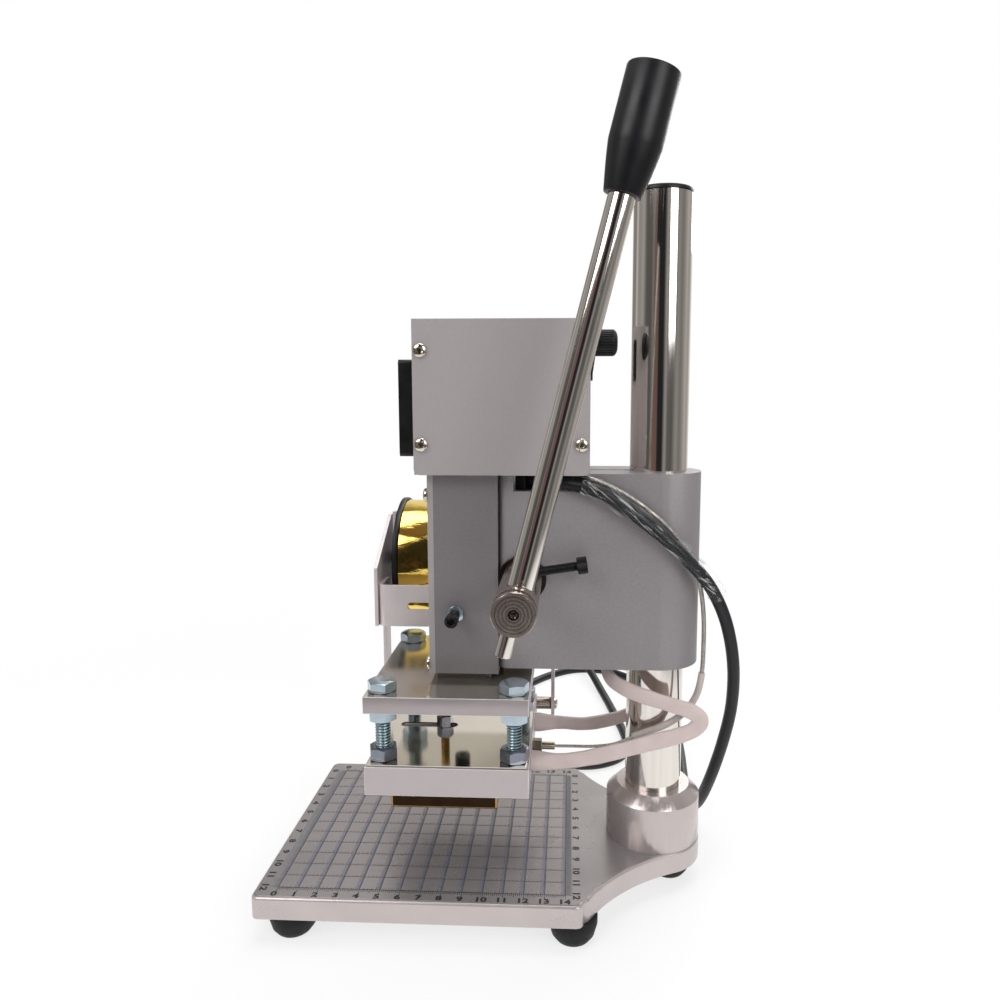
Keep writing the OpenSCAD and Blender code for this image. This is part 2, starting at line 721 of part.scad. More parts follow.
module arm() color("darkgray") mid() difference() {
    translate([0, 0, arm_z0]) linear_extrude(arm_h) arm_outline();
    translate([0, column_y, arm_z0 - 1]) cylinder(r = bore_r, h = arm_h + 2);
    block([-slit_w / 2, duct_y1 - 1, arm_z0 - 1], [slit_w / 2, column_y, arm_z1 + 1]);
    block([-duct_hw, duct_y0, arm_z0 - 1], [duct_hw, duct_y1, arm_z1 + 1]);
    block([-duct_hw, duct_y1 - 1, arm_z0 - 1], [duct_hw, mouth_y1, arm_z0 + mouth_h]);
    block([-arm_w, notch_y0, arm_z1 - notch_h], [arm_w, notch_y1, arm_z1 + 1]);
    translate([0, shaft_y, shaft_z]) {
        bar_x(pitch_r + gear_module + pinion_clear, -cavity_hw, cavity_hw);
        bar_x(bush_r, -arm_w, arm_w);
    }
    for (z = clamp_levels)
        translate([0, clamp_y, z]) {
            bar_x(clamp_screw_r, -arm_w, arm_r - clamp_end_wall + 2);
            bar_x(clamp_head_r + hole_clear, -arm_w, -arm_r + clamp_head_h + clamp_seat_clear);
        }
    for (z = wall_screw_levels)
        for (sx = [-1, 1])
            translate([sx * wall_screw_x, housing_y1, z]) bar_y(wall_screw_r, -1, wall_screw_len + 1);
}

module arm_screws() color("dimgray") mid() {
    for (z = clamp_levels)
        translate([-arm_r + clamp_head_h + clamp_seat_clear, clamp_y, z]) rotate([0, -90, 0])
            socket_screw(clamp_screw_r, arm_w - clamp_head_h - clamp_end_wall, clamp_head_r, clamp_head_h);
    for (z = wall_screw_levels)
        for (sx = [-1, 1])
            translate([sx * wall_screw_x, housing_y1 - housing_wall, z]) rotate([-90, 0, 0]) {
                cylinder(r1 = 2 * wall_screw_r - fit, r2 = wall_screw_r - fit, h = wall_screw_r);
                cylinder(r = wall_screw_r - fit, h = housing_wall + wall_screw_len - 1);
            }
}

module shaft_bushes() color("peru") mid() translate([0, shaft_y, shaft_z])
    for (m = [0, 1])
        mirror([m, 0, 0]) difference() {
            union() {
                bar_x(bush_r - fit, cavity_hw + 0.3, arm_r);
                bar_x(bush_flange_r, arm_r, arm_r + bush_flange_t);
            }
            bar_x(shaft_r + run, 0, arm_w);
        }

module ram_housing() color("darkgray") mid() difference() {
    block([-housing_hw, housing_y0, housing_z0], [housing_hw, housing_y1, arm_z1]);
    block([-inner_hw, housing_y0 - 1, housing_z0 - 1], [inner_hw, housing_y1 - housing_wall, arm_z1 + 1]);
    block([-slot_hw, housing_y0, housing_z0 - 1], [slot_hw, housing_y1 + 1, ram_z1 + ram_slot_clear]);
    for (z = wall_screw_levels)
        for (sx = [-1, 1])
            translate([sx * wall_screw_x, housing_y1 - housing_wall - 0.01, z]) rotate([-90, 0, 0]) {
                cylinder(r1 = 2 * wall_screw_r, r2 = wall_screw_r, h = wall_screw_r);
                cylinder(r = wall_screw_r, h = housing_wall + 1);
            }
    for (z = cover_screw_levels)
        for (sx = [-1, 1])
            translate([sx * cover_screw_x, 0, z]) bar_y(pan_screw_r, housing_y0 - 1, housing_y0 + 10);
    translate([0, brake_y, brake_z]) {
        bar_x(brake_r, 0, housing_w);
        bar_x(brake_pad_r, 0, inner_hw + housing_wall / 2);
    }
    for (y = bracket_screw_ys)
        translate([0, y, (bracket_z0 + bracket_z1) / 2]) bar_x(small_screw_r, -housing_w, -inner_hw + 1);
}

module front_cover() color("darkgray") mid() difference() {
    block([-housing_hw, cover_y0, housing_z0], [housing_hw, housing_y0, arm_z1]);
    for (z = cover_screw_levels)
        for (sx = [-1, 1])
            translate([sx * cover_screw_x, cover_y0, z]) bar_y(pan_screw_r + hole_clear, -1, cover_t + 1);
}

module cover_screws() color("silver") mid() {
    for (z = cover_screw_levels)
        for (sx = [-1, 1])
            translate([sx * cover_screw_x, cover_y0, z]) rotate([90, 0, 0])
                pan_screw(pan_screw_r, cover_t + 8, pan_r, pan_h);
    for (y = [box_y0 + box_screw_inset_y, box_y1 - box_screw_inset_y])
        for (z = [box_z0 + box_screw_inset_z, box_z1 - box_screw_inset_z])
            translate([box_hw, y, z]) rotate([0, 90, 0]) pan_screw(pan_screw_r, sheet_t + 4, pan_r, pan_h);
}

module brake_screw() color("black") mid() translate([0, brake_y, brake_z]) {
    bar_x(brake_r - fit, inner_hw + housing_wall / 2, brake_end - brake_head_h);
    difference() {
        bar_x(brake_head_r, brake_end - brake_head_h, brake_end);
        translate([brake_end - brake_socket, 0, 0]) rotate([0, 90, 0])
            cylinder(r = brake_r, h = brake_socket + 1, $fn = 6);
    }
}

module brake_nut() color("silver") mid() translate([housing_hw, brake_y, brake_z]) rotate([0, 90, 0])
    hex_nut(brake_r, brake_r * 1.9, brake_d * 0.55);

module brake_pad() color("goldenrod") mid() translate([0, brake_y, brake_z])
    bar_x(brake_pad_r - fit, inner_hw, inner_hw + housing_wall / 2);

// Control box

module control_box() color("silver") mid() difference() {
    union() {
        difference() {
            block([-box_hw, box_y0, box_z0], [cover_x0, box_y1, box_z1]);
            block([-box_hw + sheet_t, box_y0 + sheet_t, box_z0 + sheet_t],
                [box_hw, box_y1 - sheet_t, box_z1 - sheet_t]);
        }
        for (y = [box_y0, box_y1 - flange_w])
            block([cover_x0 - sheet_t, y, box_z0], [cover_x0, y + flange_w, box_z1]);
    }
    for (y = [box_y0 + box_screw_inset_y, box_y1 - box_screw_inset_y])
        for (z = [box_z0 + box_screw_inset_z, box_z1 - box_screw_inset_z])
            translate([0, y, z]) bar_x(pan_screw_r, cover_x0 - 8, box_hw);
    block([-case_size / 2 - fit, box_y0 - 1, controller_z - case_size / 2 - fit],
        [case_size / 2 + fit, box_y0 + sheet_t + 1, controller_z + case_size / 2 + fit]);
    translate([fuse_x, 0, fuse_z]) bar_y(fuse_body_r + fit, box_y1 - sheet_t - 1, box_y1 + 1);
    block([switch_x - switch_body.x / 2 - fit, box_y1 - sheet_t - 1, switch_z - switch_body.y / 2 - fit],
        [switch_x + switch_body.x / 2 + fit, box_y1 + 1, switch_z + switch_body.y / 2 + fit]);
    block([-duct_hw, duct_y0, box_z0 - 1], [duct_hw, duct_y1, box_z0 + sheet_t + 1]);
}

module box_cover_outline() {
    translate([box_y0, box_z0 + cover_corner_r]) square([box_len, box_h - cover_corner_r]);
    translate([box_y0 + cover_corner_r, box_z0]) square([box_len - 2 * cover_corner_r, box_h / 2]);
    for (y = [box_y0 + cover_corner_r, box_y1 - cover_corner_r])
        translate([y, box_z0 + cover_corner_r]) circle(cover_corner_r);
}

module box_cover() color("silver") mid() difference() {
    plate_yz(cover_x0, box_hw) box_cover_outline();
    for (y = [box_y0 + box_screw_inset_y, box_y1 - box_screw_inset_y])
        for (z = [box_z0 + box_screw_inset_z, box_z1 - box_screw_inset_z])
            translate([0, y, z]) bar_x(pan_screw_r + hole_clear, cover_x0 - 1, box_hw + 1);
}

module controller() color([0.1, 0.1, 0.1]) mid() difference() {
    union() {
        plate_xz(bezel_y0, box_y0)
            round_rect([-bezel_size / 2, controller_z - bezel_size / 2],
                [bezel_size / 2, controller_z + bezel_size / 2], 2);
        block([-case_size / 2, box_y0 - 0.5, controller_z - case_size / 2],
            [case_size / 2, box_y0 + case_depth, controller_z + case_size / 2]);
    }
    block([-display_size.x / 2, bezel_y0 - 1, display_z - display_size.y / 2],
        [display_size.x / 2, bezel_y0 + display_t, display_z + display_size.y / 2]);
    for (x = key_xs)
        block([x - key_size.x / 2 - key_clear, bezel_y0 - 1, key_z - key_size.y / 2 - key_clear],
            [x + key_size.x / 2 + key_clear, bezel_y0 + key_depth + key_travel + key_clear,
                key_z + key_size.y / 2 + key_clear]);
}

module controller_display() color([0.3, 0.05, 0.05]) mid()
    block([-display_size.x / 2 + fit, bezel_y0 + 0.2, display_z - display_size.y / 2 + fit],
        [display_size.x / 2 - fit, bezel_y0 + display_t, display_z + display_size.y / 2 - fit]);

module key(i) mid()
    block([key_xs[i] - key_size.x / 2, bezel_y0 - key_stand, key_z - key_size.y / 2],
        [key_xs[i] + key_size.x / 2, bezel_y0 + key_depth, key_z + key_size.y / 2]);
module key_left() color("dimgray") key(0);
module key_middle() color("dimgray") key(1);
module key_right() color("dimgray") key(2);

module switch_frame() color("black") mid() translate([switch_x, 0, switch_z]) difference() {
    union() {
        plate_xz(box_y1, box_y1 + switch_rim_t)
            round_rect(-switch_rim / 2, switch_rim / 2, 1.5);
        block([-switch_body.x / 2, box_y1 - switch_depth, -switch_body.y / 2],
            [switch_body.x / 2, box_y1 + 0.5, switch_body.y / 2]);
    }
    block([-rocker_size.x / 2 - 0.4, box_y1 - 6, -rocker_size.y / 2 - 1],
        [rocker_size.x / 2 + 0.4, box_y1 + switch_rim_t + 1, rocker_size.y / 2 + 1]);
    translate([0, rocker_y, 0])
        bar_x(rocker_pin_r + run, -rocker_size.x / 2 - 1.4, rocker_size.x / 2 + 1.4);
}

module switch_rocker() color("black") mid() translate([switch_x, rocker_y, switch_z]) {
    rotate([-rocker_tilt, 0, 0])
        block([-rocker_size.x / 2, -rocker_t / 2, -rocker_size.y / 2],
            [rocker_size.x / 2, rocker_t / 2, rocker_size.y / 2]);
    bar_x(rocker_pin_r, -rocker_size.x / 2 - 1.2, rocker_size.x / 2 + 1.2);
}

module fuse_holder() color("black") mid() translate([fuse_x, 0, fuse_z]) difference() {
    union() {
        bar_y(fuse_rim_r, box_y1, box_y1 + fuse_rim_t);
        bar_y(fuse_body_r, box_y1 - fuse_depth, box_y1 + 0.5);
    }
    bar_y(fuse_stem_r + run, box_y1 - fuse_depth + 3, box_y1 + fuse_rim_t + 1);
}

module fuse_cap() color("black") mid() translate([fuse_x, 0, fuse_z]) {
    bar_y(fuse_cap_d / 2, box_y1 + fuse_rim_t + 0.2, box_y1 + fuse_rim_t + fuse_cap_len);
    bar_y(fuse_stem_r, box_y1 - fuse_depth + 4, box_y1 + fuse_rim_t + 1);
}

module power_relay() color("ivory") mid()
    block([-box_hw + sheet_t, box_y0 + case_depth + relay_gap, box_z0 + sheet_t],
        [-duct_hw - 1, box_y1 - sheet_t - 1, box_z0 + relay_h]);

module cord_clamp() color("black") mid() translate([cord_clamp_at.x, cord_clamp_at.y, arm_z1 - notch_h])
    rotate([0, 0, cord_clamp_turn])
        block([-cord_clamp_size.x / 2, -cord_clamp_size.y, 0], [cord_clamp_size.x / 2, -fit, notch_h - fit]);

// Foil holder

module foil_bracket() color("gainsboro") mid() difference() {
    translate([0, 0, bracket_z0]) linear_extrude(bracket_h) difference() {
        round_rect([bracket_x0 - tab_reach - bracket_bend_r, tab_y0], [bracket_x1, tab_y1], bracket_bend_r);
        round_rect([bracket_x0 - tab_reach - 3 * bracket_bend_r, tab_y0 + holder_sheet],
            [bracket_x0, tab_y1 - holder_sheet], bracket_bend_r - holder_sheet);
        translate([bracket_x0 - tab_reach - 2 * bracket_bend_r, tab_y0 - 1])
            square([2 * bracket_bend_r, tab_y1 - tab_y0 + 2]);
    }
    translate([0, bracket_slot_y, (bracket_z0 + bracket_z1) / 2]) {
        block([bracket_x0 - 1, -bracket_slot_len / 2, -bracket_slot_w / 2],
            [bracket_x1 + 1, bracket_slot_len / 2, bracket_slot_w / 2]);
        for (sy = [-1, 1])
            translate([bracket_x1, sy * bracket_slot_len / 2, 0])
                bar_x(bracket_slot_w / 2, -holder_sheet - 1, 1);
    }
    for (y = bracket_screw_ys)
        translate([0, y, (bracket_z0 + bracket_z1) / 2])
            bar_x(small_screw_r + hole_clear, bracket_x0 - 1, bracket_x1 + 1);
    for (z = tab_screw_levels)
        translate([bracket_x0 - tab_reach / 2, 0, z]) bar_y(small_screw_r, tab_y0 - 1, tab_y1 + 1);
}

module ear_outline() difference() {
    polygon([[ear_near, bracket_z0], [ear_near, bracket_z0 + ear_shoulder],
        [roll_x + ear_crown[1], roll_z + ear_top], [roll_x + ear_crown[0], roll_z + ear_top],
        [ear_far, bracket_z0 + ear_shoulder], [ear_far, bracket_z0]]);
    translate([roll_x, roll_z]) circle(axle_r + run);
    translate([roll_x - axle_r - run, roll_z]) square([2 * (axle_r + run), ear_top + 1]);
    for (z = tab_screw_levels)
        translate([bracket_x0 - tab_reach / 2, z]) circle(small_screw_r + hole_clear);
    translate([guide_x, strip_screw_z]) circle(small_screw_r + hole_clear);
}

module strip_outline() difference() {
    round_rect([guide_x - strip_w / 2, strip_z0], [guide_x + strip_w / 2, strip_z1], 2);
    translate([guide_x, strip_screw_z]) circle(small_screw_r + hole_clear);
    translate([guide_x, guide_z]) circle(small_screw_r + hole_clear);
}

module foil_ears() color("gainsboro") mid() {
    plate_xz(ear_y0, tab_y0) ear_outline();
    plate_xz(tab_y1, ear_y1) ear_outline();
    plate_xz(ear_y0 - fit - holder_sheet, ear_y0 - fit) strip_outline();
    plate_xz(ear_y1 + fit, ear_y1 + fit + holder_sheet) strip_outline();
}

module ear_screws() color("silver") mid() {
    for (m = [0, 1])
        translate([0, m == 0 ? ear_y0 : ear_y1, 0]) mirror([0, m, 0]) {
            for (z = tab_screw_levels)
                translate([bracket_x0 - tab_reach / 2, 0, z]) rotate([90, 0, 0])
                    pan_screw(small_screw_r, 2 * holder_sheet, small_head_r, small_head_h);
            translate([guide_x, -fit - holder_sheet, strip_screw_z]) rotate([90, 0, 0])
                pan_screw(small_screw_r, 2 * holder_sheet + fit, small_head_r, small_head_h);
            translate([guide_x, -fit - holder_sheet, guide_z]) rotate([90, 0, 0])
                pan_screw(small_screw_r, holder_sheet + 8, small_head_r, small_head_h);
        }
    for (y = bracket_screw_ys)
        translate([bracket_x0, y, (bracket_z0 + bracket_z1) / 2]) rotate([0, -90, 0])
            pan_screw(small_screw_r, holder_sheet + housing_wall - 1, small_head_r, small_head_h);
}

module guide_bar() color("silver") mid() translate([guide_x, 0, guide_z]) difference() {
    bar_y(guide_r, ear_y0 - fit, ear_y1 + fit);
    bar_y(small_screw_r, ear_y0 - 1, ear_y0 + 9);
    bar_y(small_screw_r, ear_y1 - 9, ear_y1 + 1);
}

module heater_leads() color("mistyrose") mid() {
    tube(lead_near, sleeve_d / 2, 2, 10);
    tube(lead_far, sleeve_d / 2, 2, 10);
}

module thermocouple_lead() color("lightgray") mid() tube(thermo_route, thermo_d / 2, 2, 8);

// Lever

module shaft_groove(x, width, deep) translate([x, 0, 0]) rotate([0, 90, 0]) difference() {
    cylinder(r = shaft_r + 1, h = width);
    translate([0, 0, -1]) cylinder(r = shaft_r - deep, h = width + 2);
}

module pinion_shaft() color("silver") mid() translate([0, shaft_y, shaft_z]) difference() {
    union() {
        bar_x(shaft_r, -shaft_far, shaft_reach - end_chamfer);
        translate([shaft_reach - end_chamfer, 0, 0]) rotate([0, 90, 0])
            cylinder(r1 = shaft_r, r2 = shaft_r - end_chamfer, h = end_chamfer);
    }
    shaft_groove(-clip_x - clip_t, clip_t, clip_groove_deep);
    shaft_groove(shaft_reach - end_groove_at, end_groove_w, end_groove_deep);
    translate([rod_x, 0, 0]) rotate([-lever_lean, 0, 0]) {
        translate([0, 0, -rod_seat]) cylinder(r = rod_r + fit, h = shaft_d);
        translate([0, 0, -shaft_d]) cylinder(r = rod_tail_r + fit, h = 2 * shaft_d);
    }
    bar_x(set_r, rod_x, shaft_reach + 1);
    translate([lock_x, 0, lock_rise]) rotate([lock_angle, 0, 0]) bar_y(lock_r, 0, shaft_d);
}

function involute(angle) = tan(angle) - angle * PI / 180;
base_r = pitch_r * cos(20);
tip_r = pitch_r + gear_module;
root_r = pitch_r - 1.25 * gear_module;
pitch_half = 90 / gear_teeth - gear_play / 4 / pitch_r * 180 / PI;
function half_tooth(r) = pitch_half
    + (involute(20) - (r > base_r ? involute(acos(base_r / r)) : 0)) * 180 / PI;
tooth_radii = [root_r, base_r, (base_r + pitch_r) / 2, pitch_r, (pitch_r + tip_r) / 2, tip_r];
module pinion_outline() polygon([
    for (i = [0 : gear_teeth - 1])
        let (mid_angle = 180 + (i + 0.5) * 360 / gear_teeth)
            each concat(
                [for (k = [0 : len(tooth_radii) - 1])
                    let (r = tooth_radii[k], a = mid_angle - half_tooth(r)) r * [cos(a), sin(a)]],
                [for (k = [len(tooth_radii) - 1 : -1 : 0])
                    let (r = tooth_radii[k], a = mid_angle + half_tooth(r)) r * [cos(a), sin(a)]])]);

module pinion() color("gray") mid() translate([0, shaft_y, shaft_z]) difference() {
    plate_yz(-gear_w / 2, gear_w / 2) pinion_outline();
    bar_x(shaft_r + fit, -gear_w, gear_w);
}

module lever_rod() color("silver") mid() translate([rod_x, shaft_y, shaft_z]) rotate([-lever_lean, 0, 0])
    rotate_extrude() polygon([
        [0, -rod_below], [rod_tail_r, -rod_below], [rod_tail_r, fit - rod_seat], [rod_r, fit - rod_seat],
        [rod_r, rod_above + rod_in_grip], [0, rod_above + rod_in_grip]]);

module lever_grip() color("black") mid() translate([rod_x, shaft_y, shaft_z]) rotate([-lever_lean, 0, 0])
    translate([0, 0, rod_above]) rotate_extrude() polygon([
        [rod_r + fit, 0], [grip_d0 / 2 - grip_edge, 0], [grip_d0 / 2, grip_edge],
        [grip_d1 / 2, grip_taper], [grip_d1 / 2, grip_len - grip_edge], [grip_d1 / 2 - grip_edge, grip_len],
        [0, grip_len], [0, rod_in_grip + fit], [rod_r + fit, rod_in_grip + fit]]);

module lever_screws() color("black") mid() translate([0, shaft_y, shaft_z]) {
    translate([lock_x, 0, lock_rise]) rotate([lock_angle, 0, 0]) rotate([-90, 0, 0])
        translate([0, 0, lock_tip - lock_head_h])
            socket_screw(lock_r, lock_tip - lock_head_h - 1, lock_head_r, lock_head_h);
    difference() {
        bar_x(set_r - fit, rod_x + rod_r + set_tip_gap, shaft_reach - set_sunk);
        translate([shaft_reach - 3, 0, 0]) rotate([0, 90, 0]) cylinder(r = set_r * 0.55, h = 4, $fn = 6);
    }
}

module shaft_clip() color("dimgray") mid() translate([-clip_x - clip_t, shaft_y, shaft_z]) rotate([0, 90, 0])
    difference() {
        translate([0, 0, fit]) cylinder(r = shaft_r + 2, h = clip_t - 2 * fit);
        translate([0, 0, -1]) cylinder(r = shaft_r - clip_groove_deep + fit, h = clip_t + 2);
        block([-shaft_d, -3, -1], [0, 3, clip_t + 1]);
    }

// Ram

module ram() color("lightgray") mid() difference() {
    block([-ram_hw, ram_y0, plate_z1], [ram_hw, ram_y1, ram_z1]);
    block([-rack_w / 2 - fit, rack_back_y, rack_z0 - fit], [rack_w / 2 + fit, ram_y1 + 1, ram_z1 + 1]);
    for (sx = [-1, 1])
        translate([sx * ram_screw_x, plate_y, plate_z1 - 1])
            cylinder(r = ram_screw_r, h = ram_screw_depth + 3);
    for (z = rack_screw_levels)
        translate([0, 0, z]) {
            bar_y(small_screw_r, ram_y0 - 1, ram_y1);
            bar_y(small_head_r + hole_clear, ram_y0 - 1, ram_y0 + rack_screw_seat);
        }
}

module rack() color("gray") mid() difference() {
    plate_yz(-rack_w / 2, rack_w / 2) polygon(concat(
        [[rack_back_y, ram_z1], [rack_back_y, rack_z0], [rack_y - 1.25 * gear_module, rack_z0]],
        [for (k = [ceil((tooth_pitch / 2 - rack_margin) / tooth_pitch) :
                floor((ram_z1 - shaft_z - tooth_pitch / 2) / tooth_pitch)])
            let (z = shaft_z + k * tooth_pitch,
                    pitch_hw = tooth_pitch / 4 - gear_play / 4,
                    root_hw = pitch_hw + 1.25 * gear_module * tan(20),
                    tip_hw = pitch_hw - gear_module * tan(20))
                each [[rack_y - 1.25 * gear_module, z - root_hw], [rack_y + gear_module, z - tip_hw],
                    [rack_y + gear_module, z + tip_hw], [rack_y - 1.25 * gear_module, z + root_hw]]],
        [[rack_y - 1.25 * gear_module, ram_z1]]));
    for (z = rack_screw_levels)
        translate([0, 0, z]) bar_y(small_screw_r, rack_back_y - 1, rack_back_y + rack_screw_seat + 1);
}

module ram_screws() color("dimgray") mid() {
    for (sx = [-1, 1])
        translate([sx * ram_screw_x, plate_y, plate_z0]) rotate([180, 0, 0])
            socket_screw(ram_screw_r, plate_t + ram_screw_depth, ram_screw_head_r, ram_screw_head_h);
    for (z = rack_screw_levels)
        translate([0, ram_y0 + rack_screw_seat, z]) rotate([90, 0, 0])
            socket_screw(small_screw_r, rack_back_y - ram_y0, small_head_r, rack_screw_head_h);
}

module upper_plate() color("gainsboro") mid() difference() {
    block([-plate_w / 2, plate_y0, plate_z0], [plate_w / 2, plate_y1, plate_z1]);
    for (p = bolt_places)
        translate([p.x, p.y, plate_z0 - 1]) cylinder(r = bolt_r + hole_clear, h = plate_t + 2);
    for (sx = [-1, 1])
        translate([sx * ram_screw_x, plate_y, plate_z0 - 1])
            cylinder(r = ram_screw_r + hole_clear, h = plate_t + 2);
}

module plate_bolts() color("lightsteelblue") mid()
    for (p = bolt_places)
        translate([p.x, p.y, 0]) {
            translate([0, 0, plate_z1]) cylinder(r = hex_r, h = bolt_head_h, $fn = 6);
            translate([0, 0, heater_z1 - bolt_depth])
                cylinder(r = bolt_r - fit, h = plate_z1 - heater_z1 + bolt_depth + bolt_head_h / 2);
        }

module plate_nuts() color("slategray") mid()
    for (p = bolt_places)
        for (z = [plate_z0 - nut_h, heater_z1 + reflector_t])
            translate([p.x, p.y, z]) hex_nut(bolt_r, hex_r, nut_h);

// Long hole in the top of the heater block and its sheet, from z0 to z1
module slot_cut(z0, z1) {
    block([-slot_w / 2, slot_ends[0] + slot_w / 2, z0], [slot_w / 2, slot_ends[1] - slot_w / 2, z1]);
    for (y = [slot_ends[0] + slot_w / 2, slot_ends[1] - slot_w / 2])
        translate([0, y, z0]) cylinder(r = slot_w / 2, h = z1 - z0);
}

module heater_block() color("gainsboro") mid() difference() {
    block([-plate_w / 2, plate_y0, heater_z0], [plate_w / 2, plate_y1, heater_z1]);
    for (p = bolt_places)
        translate([p.x, p.y, heater_z1 - bolt_depth - 1]) cylinder(r = bolt_r, h = bolt_depth + 2);
    for (x = heater_x)
        translate([x, 0, heater_z]) bar_y(heater_r + fit, plate_y1 - heater_len, plate_y1 + 1);
    translate([probe_x, 0, heater_z]) bar_y(probe_r, plate_y1 - probe_depth - 1, plate_y1 + 1);
    slot_cut(heater_z1 - slot_depth, heater_z1 + 1);
}

module reflector_sheet() color("white") mid() difference() {
    block([-plate_w / 2 + sheet_inset, plate_y0 + sheet_inset, heater_z1],
        [plate_w / 2 - sheet_inset, plate_y1 - sheet_inset, heater_z1 + reflector_t]);
    for (p = bolt_places)
        translate([p.x, p.y, heater_z1 - 1]) cylinder(r = bolt_r + hole_clear, h = reflector_t + 2);
    slot_cut(heater_z1 - 1, heater_z1 + reflector_t + 1);
}

module slot_screw() color("goldenrod") mid() translate([0, slot_screw_y, 0]) {
    translate([0, 0, heater_z1 - slot_depth])
        cylinder(r = slot_screw_r, h = plate_z0 - slot_screw_top_gap - heater_z1 + slot_depth);
    translate([0, 0, heater_z1 + reflector_t]) cylinder(r = slot_nut_r, h = slot_nut_h, $fn = 6);
}

module heater_cartridges() color("silver") mid()
    for (x = heater_x)
        translate([x, 0, heater_z]) bar_y(heater_r, plate_y1 - heater_len + 1, plate_y1 + heater_stub);

module thermocouple_probe() color("goldenrod") mid() translate([probe_x, plate_y1, heater_z])
    rotate([-90, 0, 0]) {
        cylinder(r = probe_hex_r, h = probe_hex_t, $fn = 6);
        translate([0, 0, -probe_depth]) cylinder(r = probe_r - fit, h = probe_depth + 1);
        translate([0, 0, probe_hex_t - 1]) cylinder(r = probe_tail_r, h = probe_tail + 1);
    }

module die_holder() color("goldenrod") mid()
    block([-plate_w / 2 + holder_inset, plate_y0 + holder_front_inset, holder_z0],
        [plate_w / 2 - holder_inset, plate_y1 - holder_rear_inset, heater_z0]);

module stamping_die() color("goldenrod") mid()
    block([-die_w / 2, die_y - die_len / 2, die_z0], [die_w / 2, die_y + die_len / 2, holder_z0]);

// Foil roll

module foil_axle() color([0.15, 0.15, 0.15]) mid() translate([roll_x, 0, roll_z])
    bar_y(axle_r, ear_y0 - axle_end, ear_y1 + axle_end);

module roll_discs() color([0.12, 0.12, 0.12]) mid() translate([roll_x, 0, roll_z])
    for (y = [roll_y0 - disc_t, roll_y1])
        difference() {
            union() {
                bar_y(disc_r, y, y + disc_t);
                translate([0, y == roll_y1 ? y - hub_len : y, 0]) bar_y(hub_r, 0, hub_len + disc_t);
            }
            bar_y(axle_r + fit, y - 2 * hub_len, y + disc_t + 2 * hub_len);
        }

module foil_core() color("tan") mid() translate([roll_x, 0, roll_z]) difference() {
    bar_y(core_r, roll_y0, roll_y1);
    bar_y(core_r - core_wall, roll_y0 - 1, roll_y1 + 1);
}

module foil_roll() color("gold") mid() translate([roll_x, 0, roll_z]) difference() {
    bar_y(foil_r, roll_y0 + disc_gap, roll_y1 - disc_gap);
    bar_y(core_r + fit, roll_y0 - 1, roll_y1 + 1);
}

base_plate();
rubber_feet();
base_screws();
column();
column_cap();
column_collar();
column_anchor();
mains_cord();
mains_plug();
arm();
arm_screws();
shaft_bushes();
ram_housing();
front_cover();
cover_screws();
brake_screw();
brake_nut();
brake_pad();
control_box();
box_cover();
controller();
controller_display();
switch_frame();
fuse_holder();
power_relay();
cord_clamp();
foil_bracket();
foil_ears();
ear_screws();
guide_bar();
heater_leads();
thermocouple_lead();
pinion_shaft();
pinion();
lever_rod();
lever_grip();
lever_screws();
shaft_clip();
ram();
rack();
ram_screws();
upper_plate();
plate_bolts();
plate_nuts();
heater_block();
reflector_sheet();
slot_screw();
heater_cartridges();
thermocouple_probe();
die_holder();
stamping_die();
foil_axle();
roll_discs();
foil_core();
foil_roll();
switch_rocker();
key_left();
key_middle();
key_right();
fuse_cap();
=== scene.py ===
import math
import random

import bmesh
import bpy
from mathutils import Matrix, Vector


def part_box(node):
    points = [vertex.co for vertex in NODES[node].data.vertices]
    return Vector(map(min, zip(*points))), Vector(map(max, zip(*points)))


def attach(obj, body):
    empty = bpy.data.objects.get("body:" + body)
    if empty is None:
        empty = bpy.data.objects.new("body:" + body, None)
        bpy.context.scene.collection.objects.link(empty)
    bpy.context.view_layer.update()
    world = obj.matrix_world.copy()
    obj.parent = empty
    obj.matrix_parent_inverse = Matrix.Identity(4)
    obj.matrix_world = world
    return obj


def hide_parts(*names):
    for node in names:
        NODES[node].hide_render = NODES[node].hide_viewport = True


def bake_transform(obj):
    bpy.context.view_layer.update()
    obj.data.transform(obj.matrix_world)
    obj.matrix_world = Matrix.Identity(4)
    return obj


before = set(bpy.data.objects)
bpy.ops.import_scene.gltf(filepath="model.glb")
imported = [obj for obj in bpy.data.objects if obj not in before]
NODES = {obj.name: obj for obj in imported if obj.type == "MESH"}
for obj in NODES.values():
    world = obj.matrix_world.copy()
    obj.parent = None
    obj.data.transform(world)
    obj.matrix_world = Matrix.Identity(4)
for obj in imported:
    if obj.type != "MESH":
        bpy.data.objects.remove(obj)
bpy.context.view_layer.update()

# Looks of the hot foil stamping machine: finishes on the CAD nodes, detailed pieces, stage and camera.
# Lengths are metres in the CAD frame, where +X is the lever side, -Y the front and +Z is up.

MM = 0.001


def low(node):
    return Vector(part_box(node)[0])


def high(node):
    return Vector(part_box(node)[1])


def centre(node):
    return (low(node) + high(node)) / 2


def linked(name, data):
    """A new object in the scene."""
    obj = bpy.data.objects.new(name, data)
    bpy.context.scene.collection.objects.link(obj)
    return obj


MID_X = centre("base_plate").x
TABLE_Z = high("base_plate").z
COLUMN_AT = centre("column")
SHAFT_AT = centre("pinion")
UP = Vector((0, 0, 1))


# Finishes

def srgb(red, green, blue):
    """Linear colour of an 8-bit one."""
    def linear(value):
        share = value / 255
        return share / 12.92 if share <= 0.04045 else ((share + 0.055) / 1.055) ** 2.4
    return (linear(red), linear(green), linear(blue), 1.0)


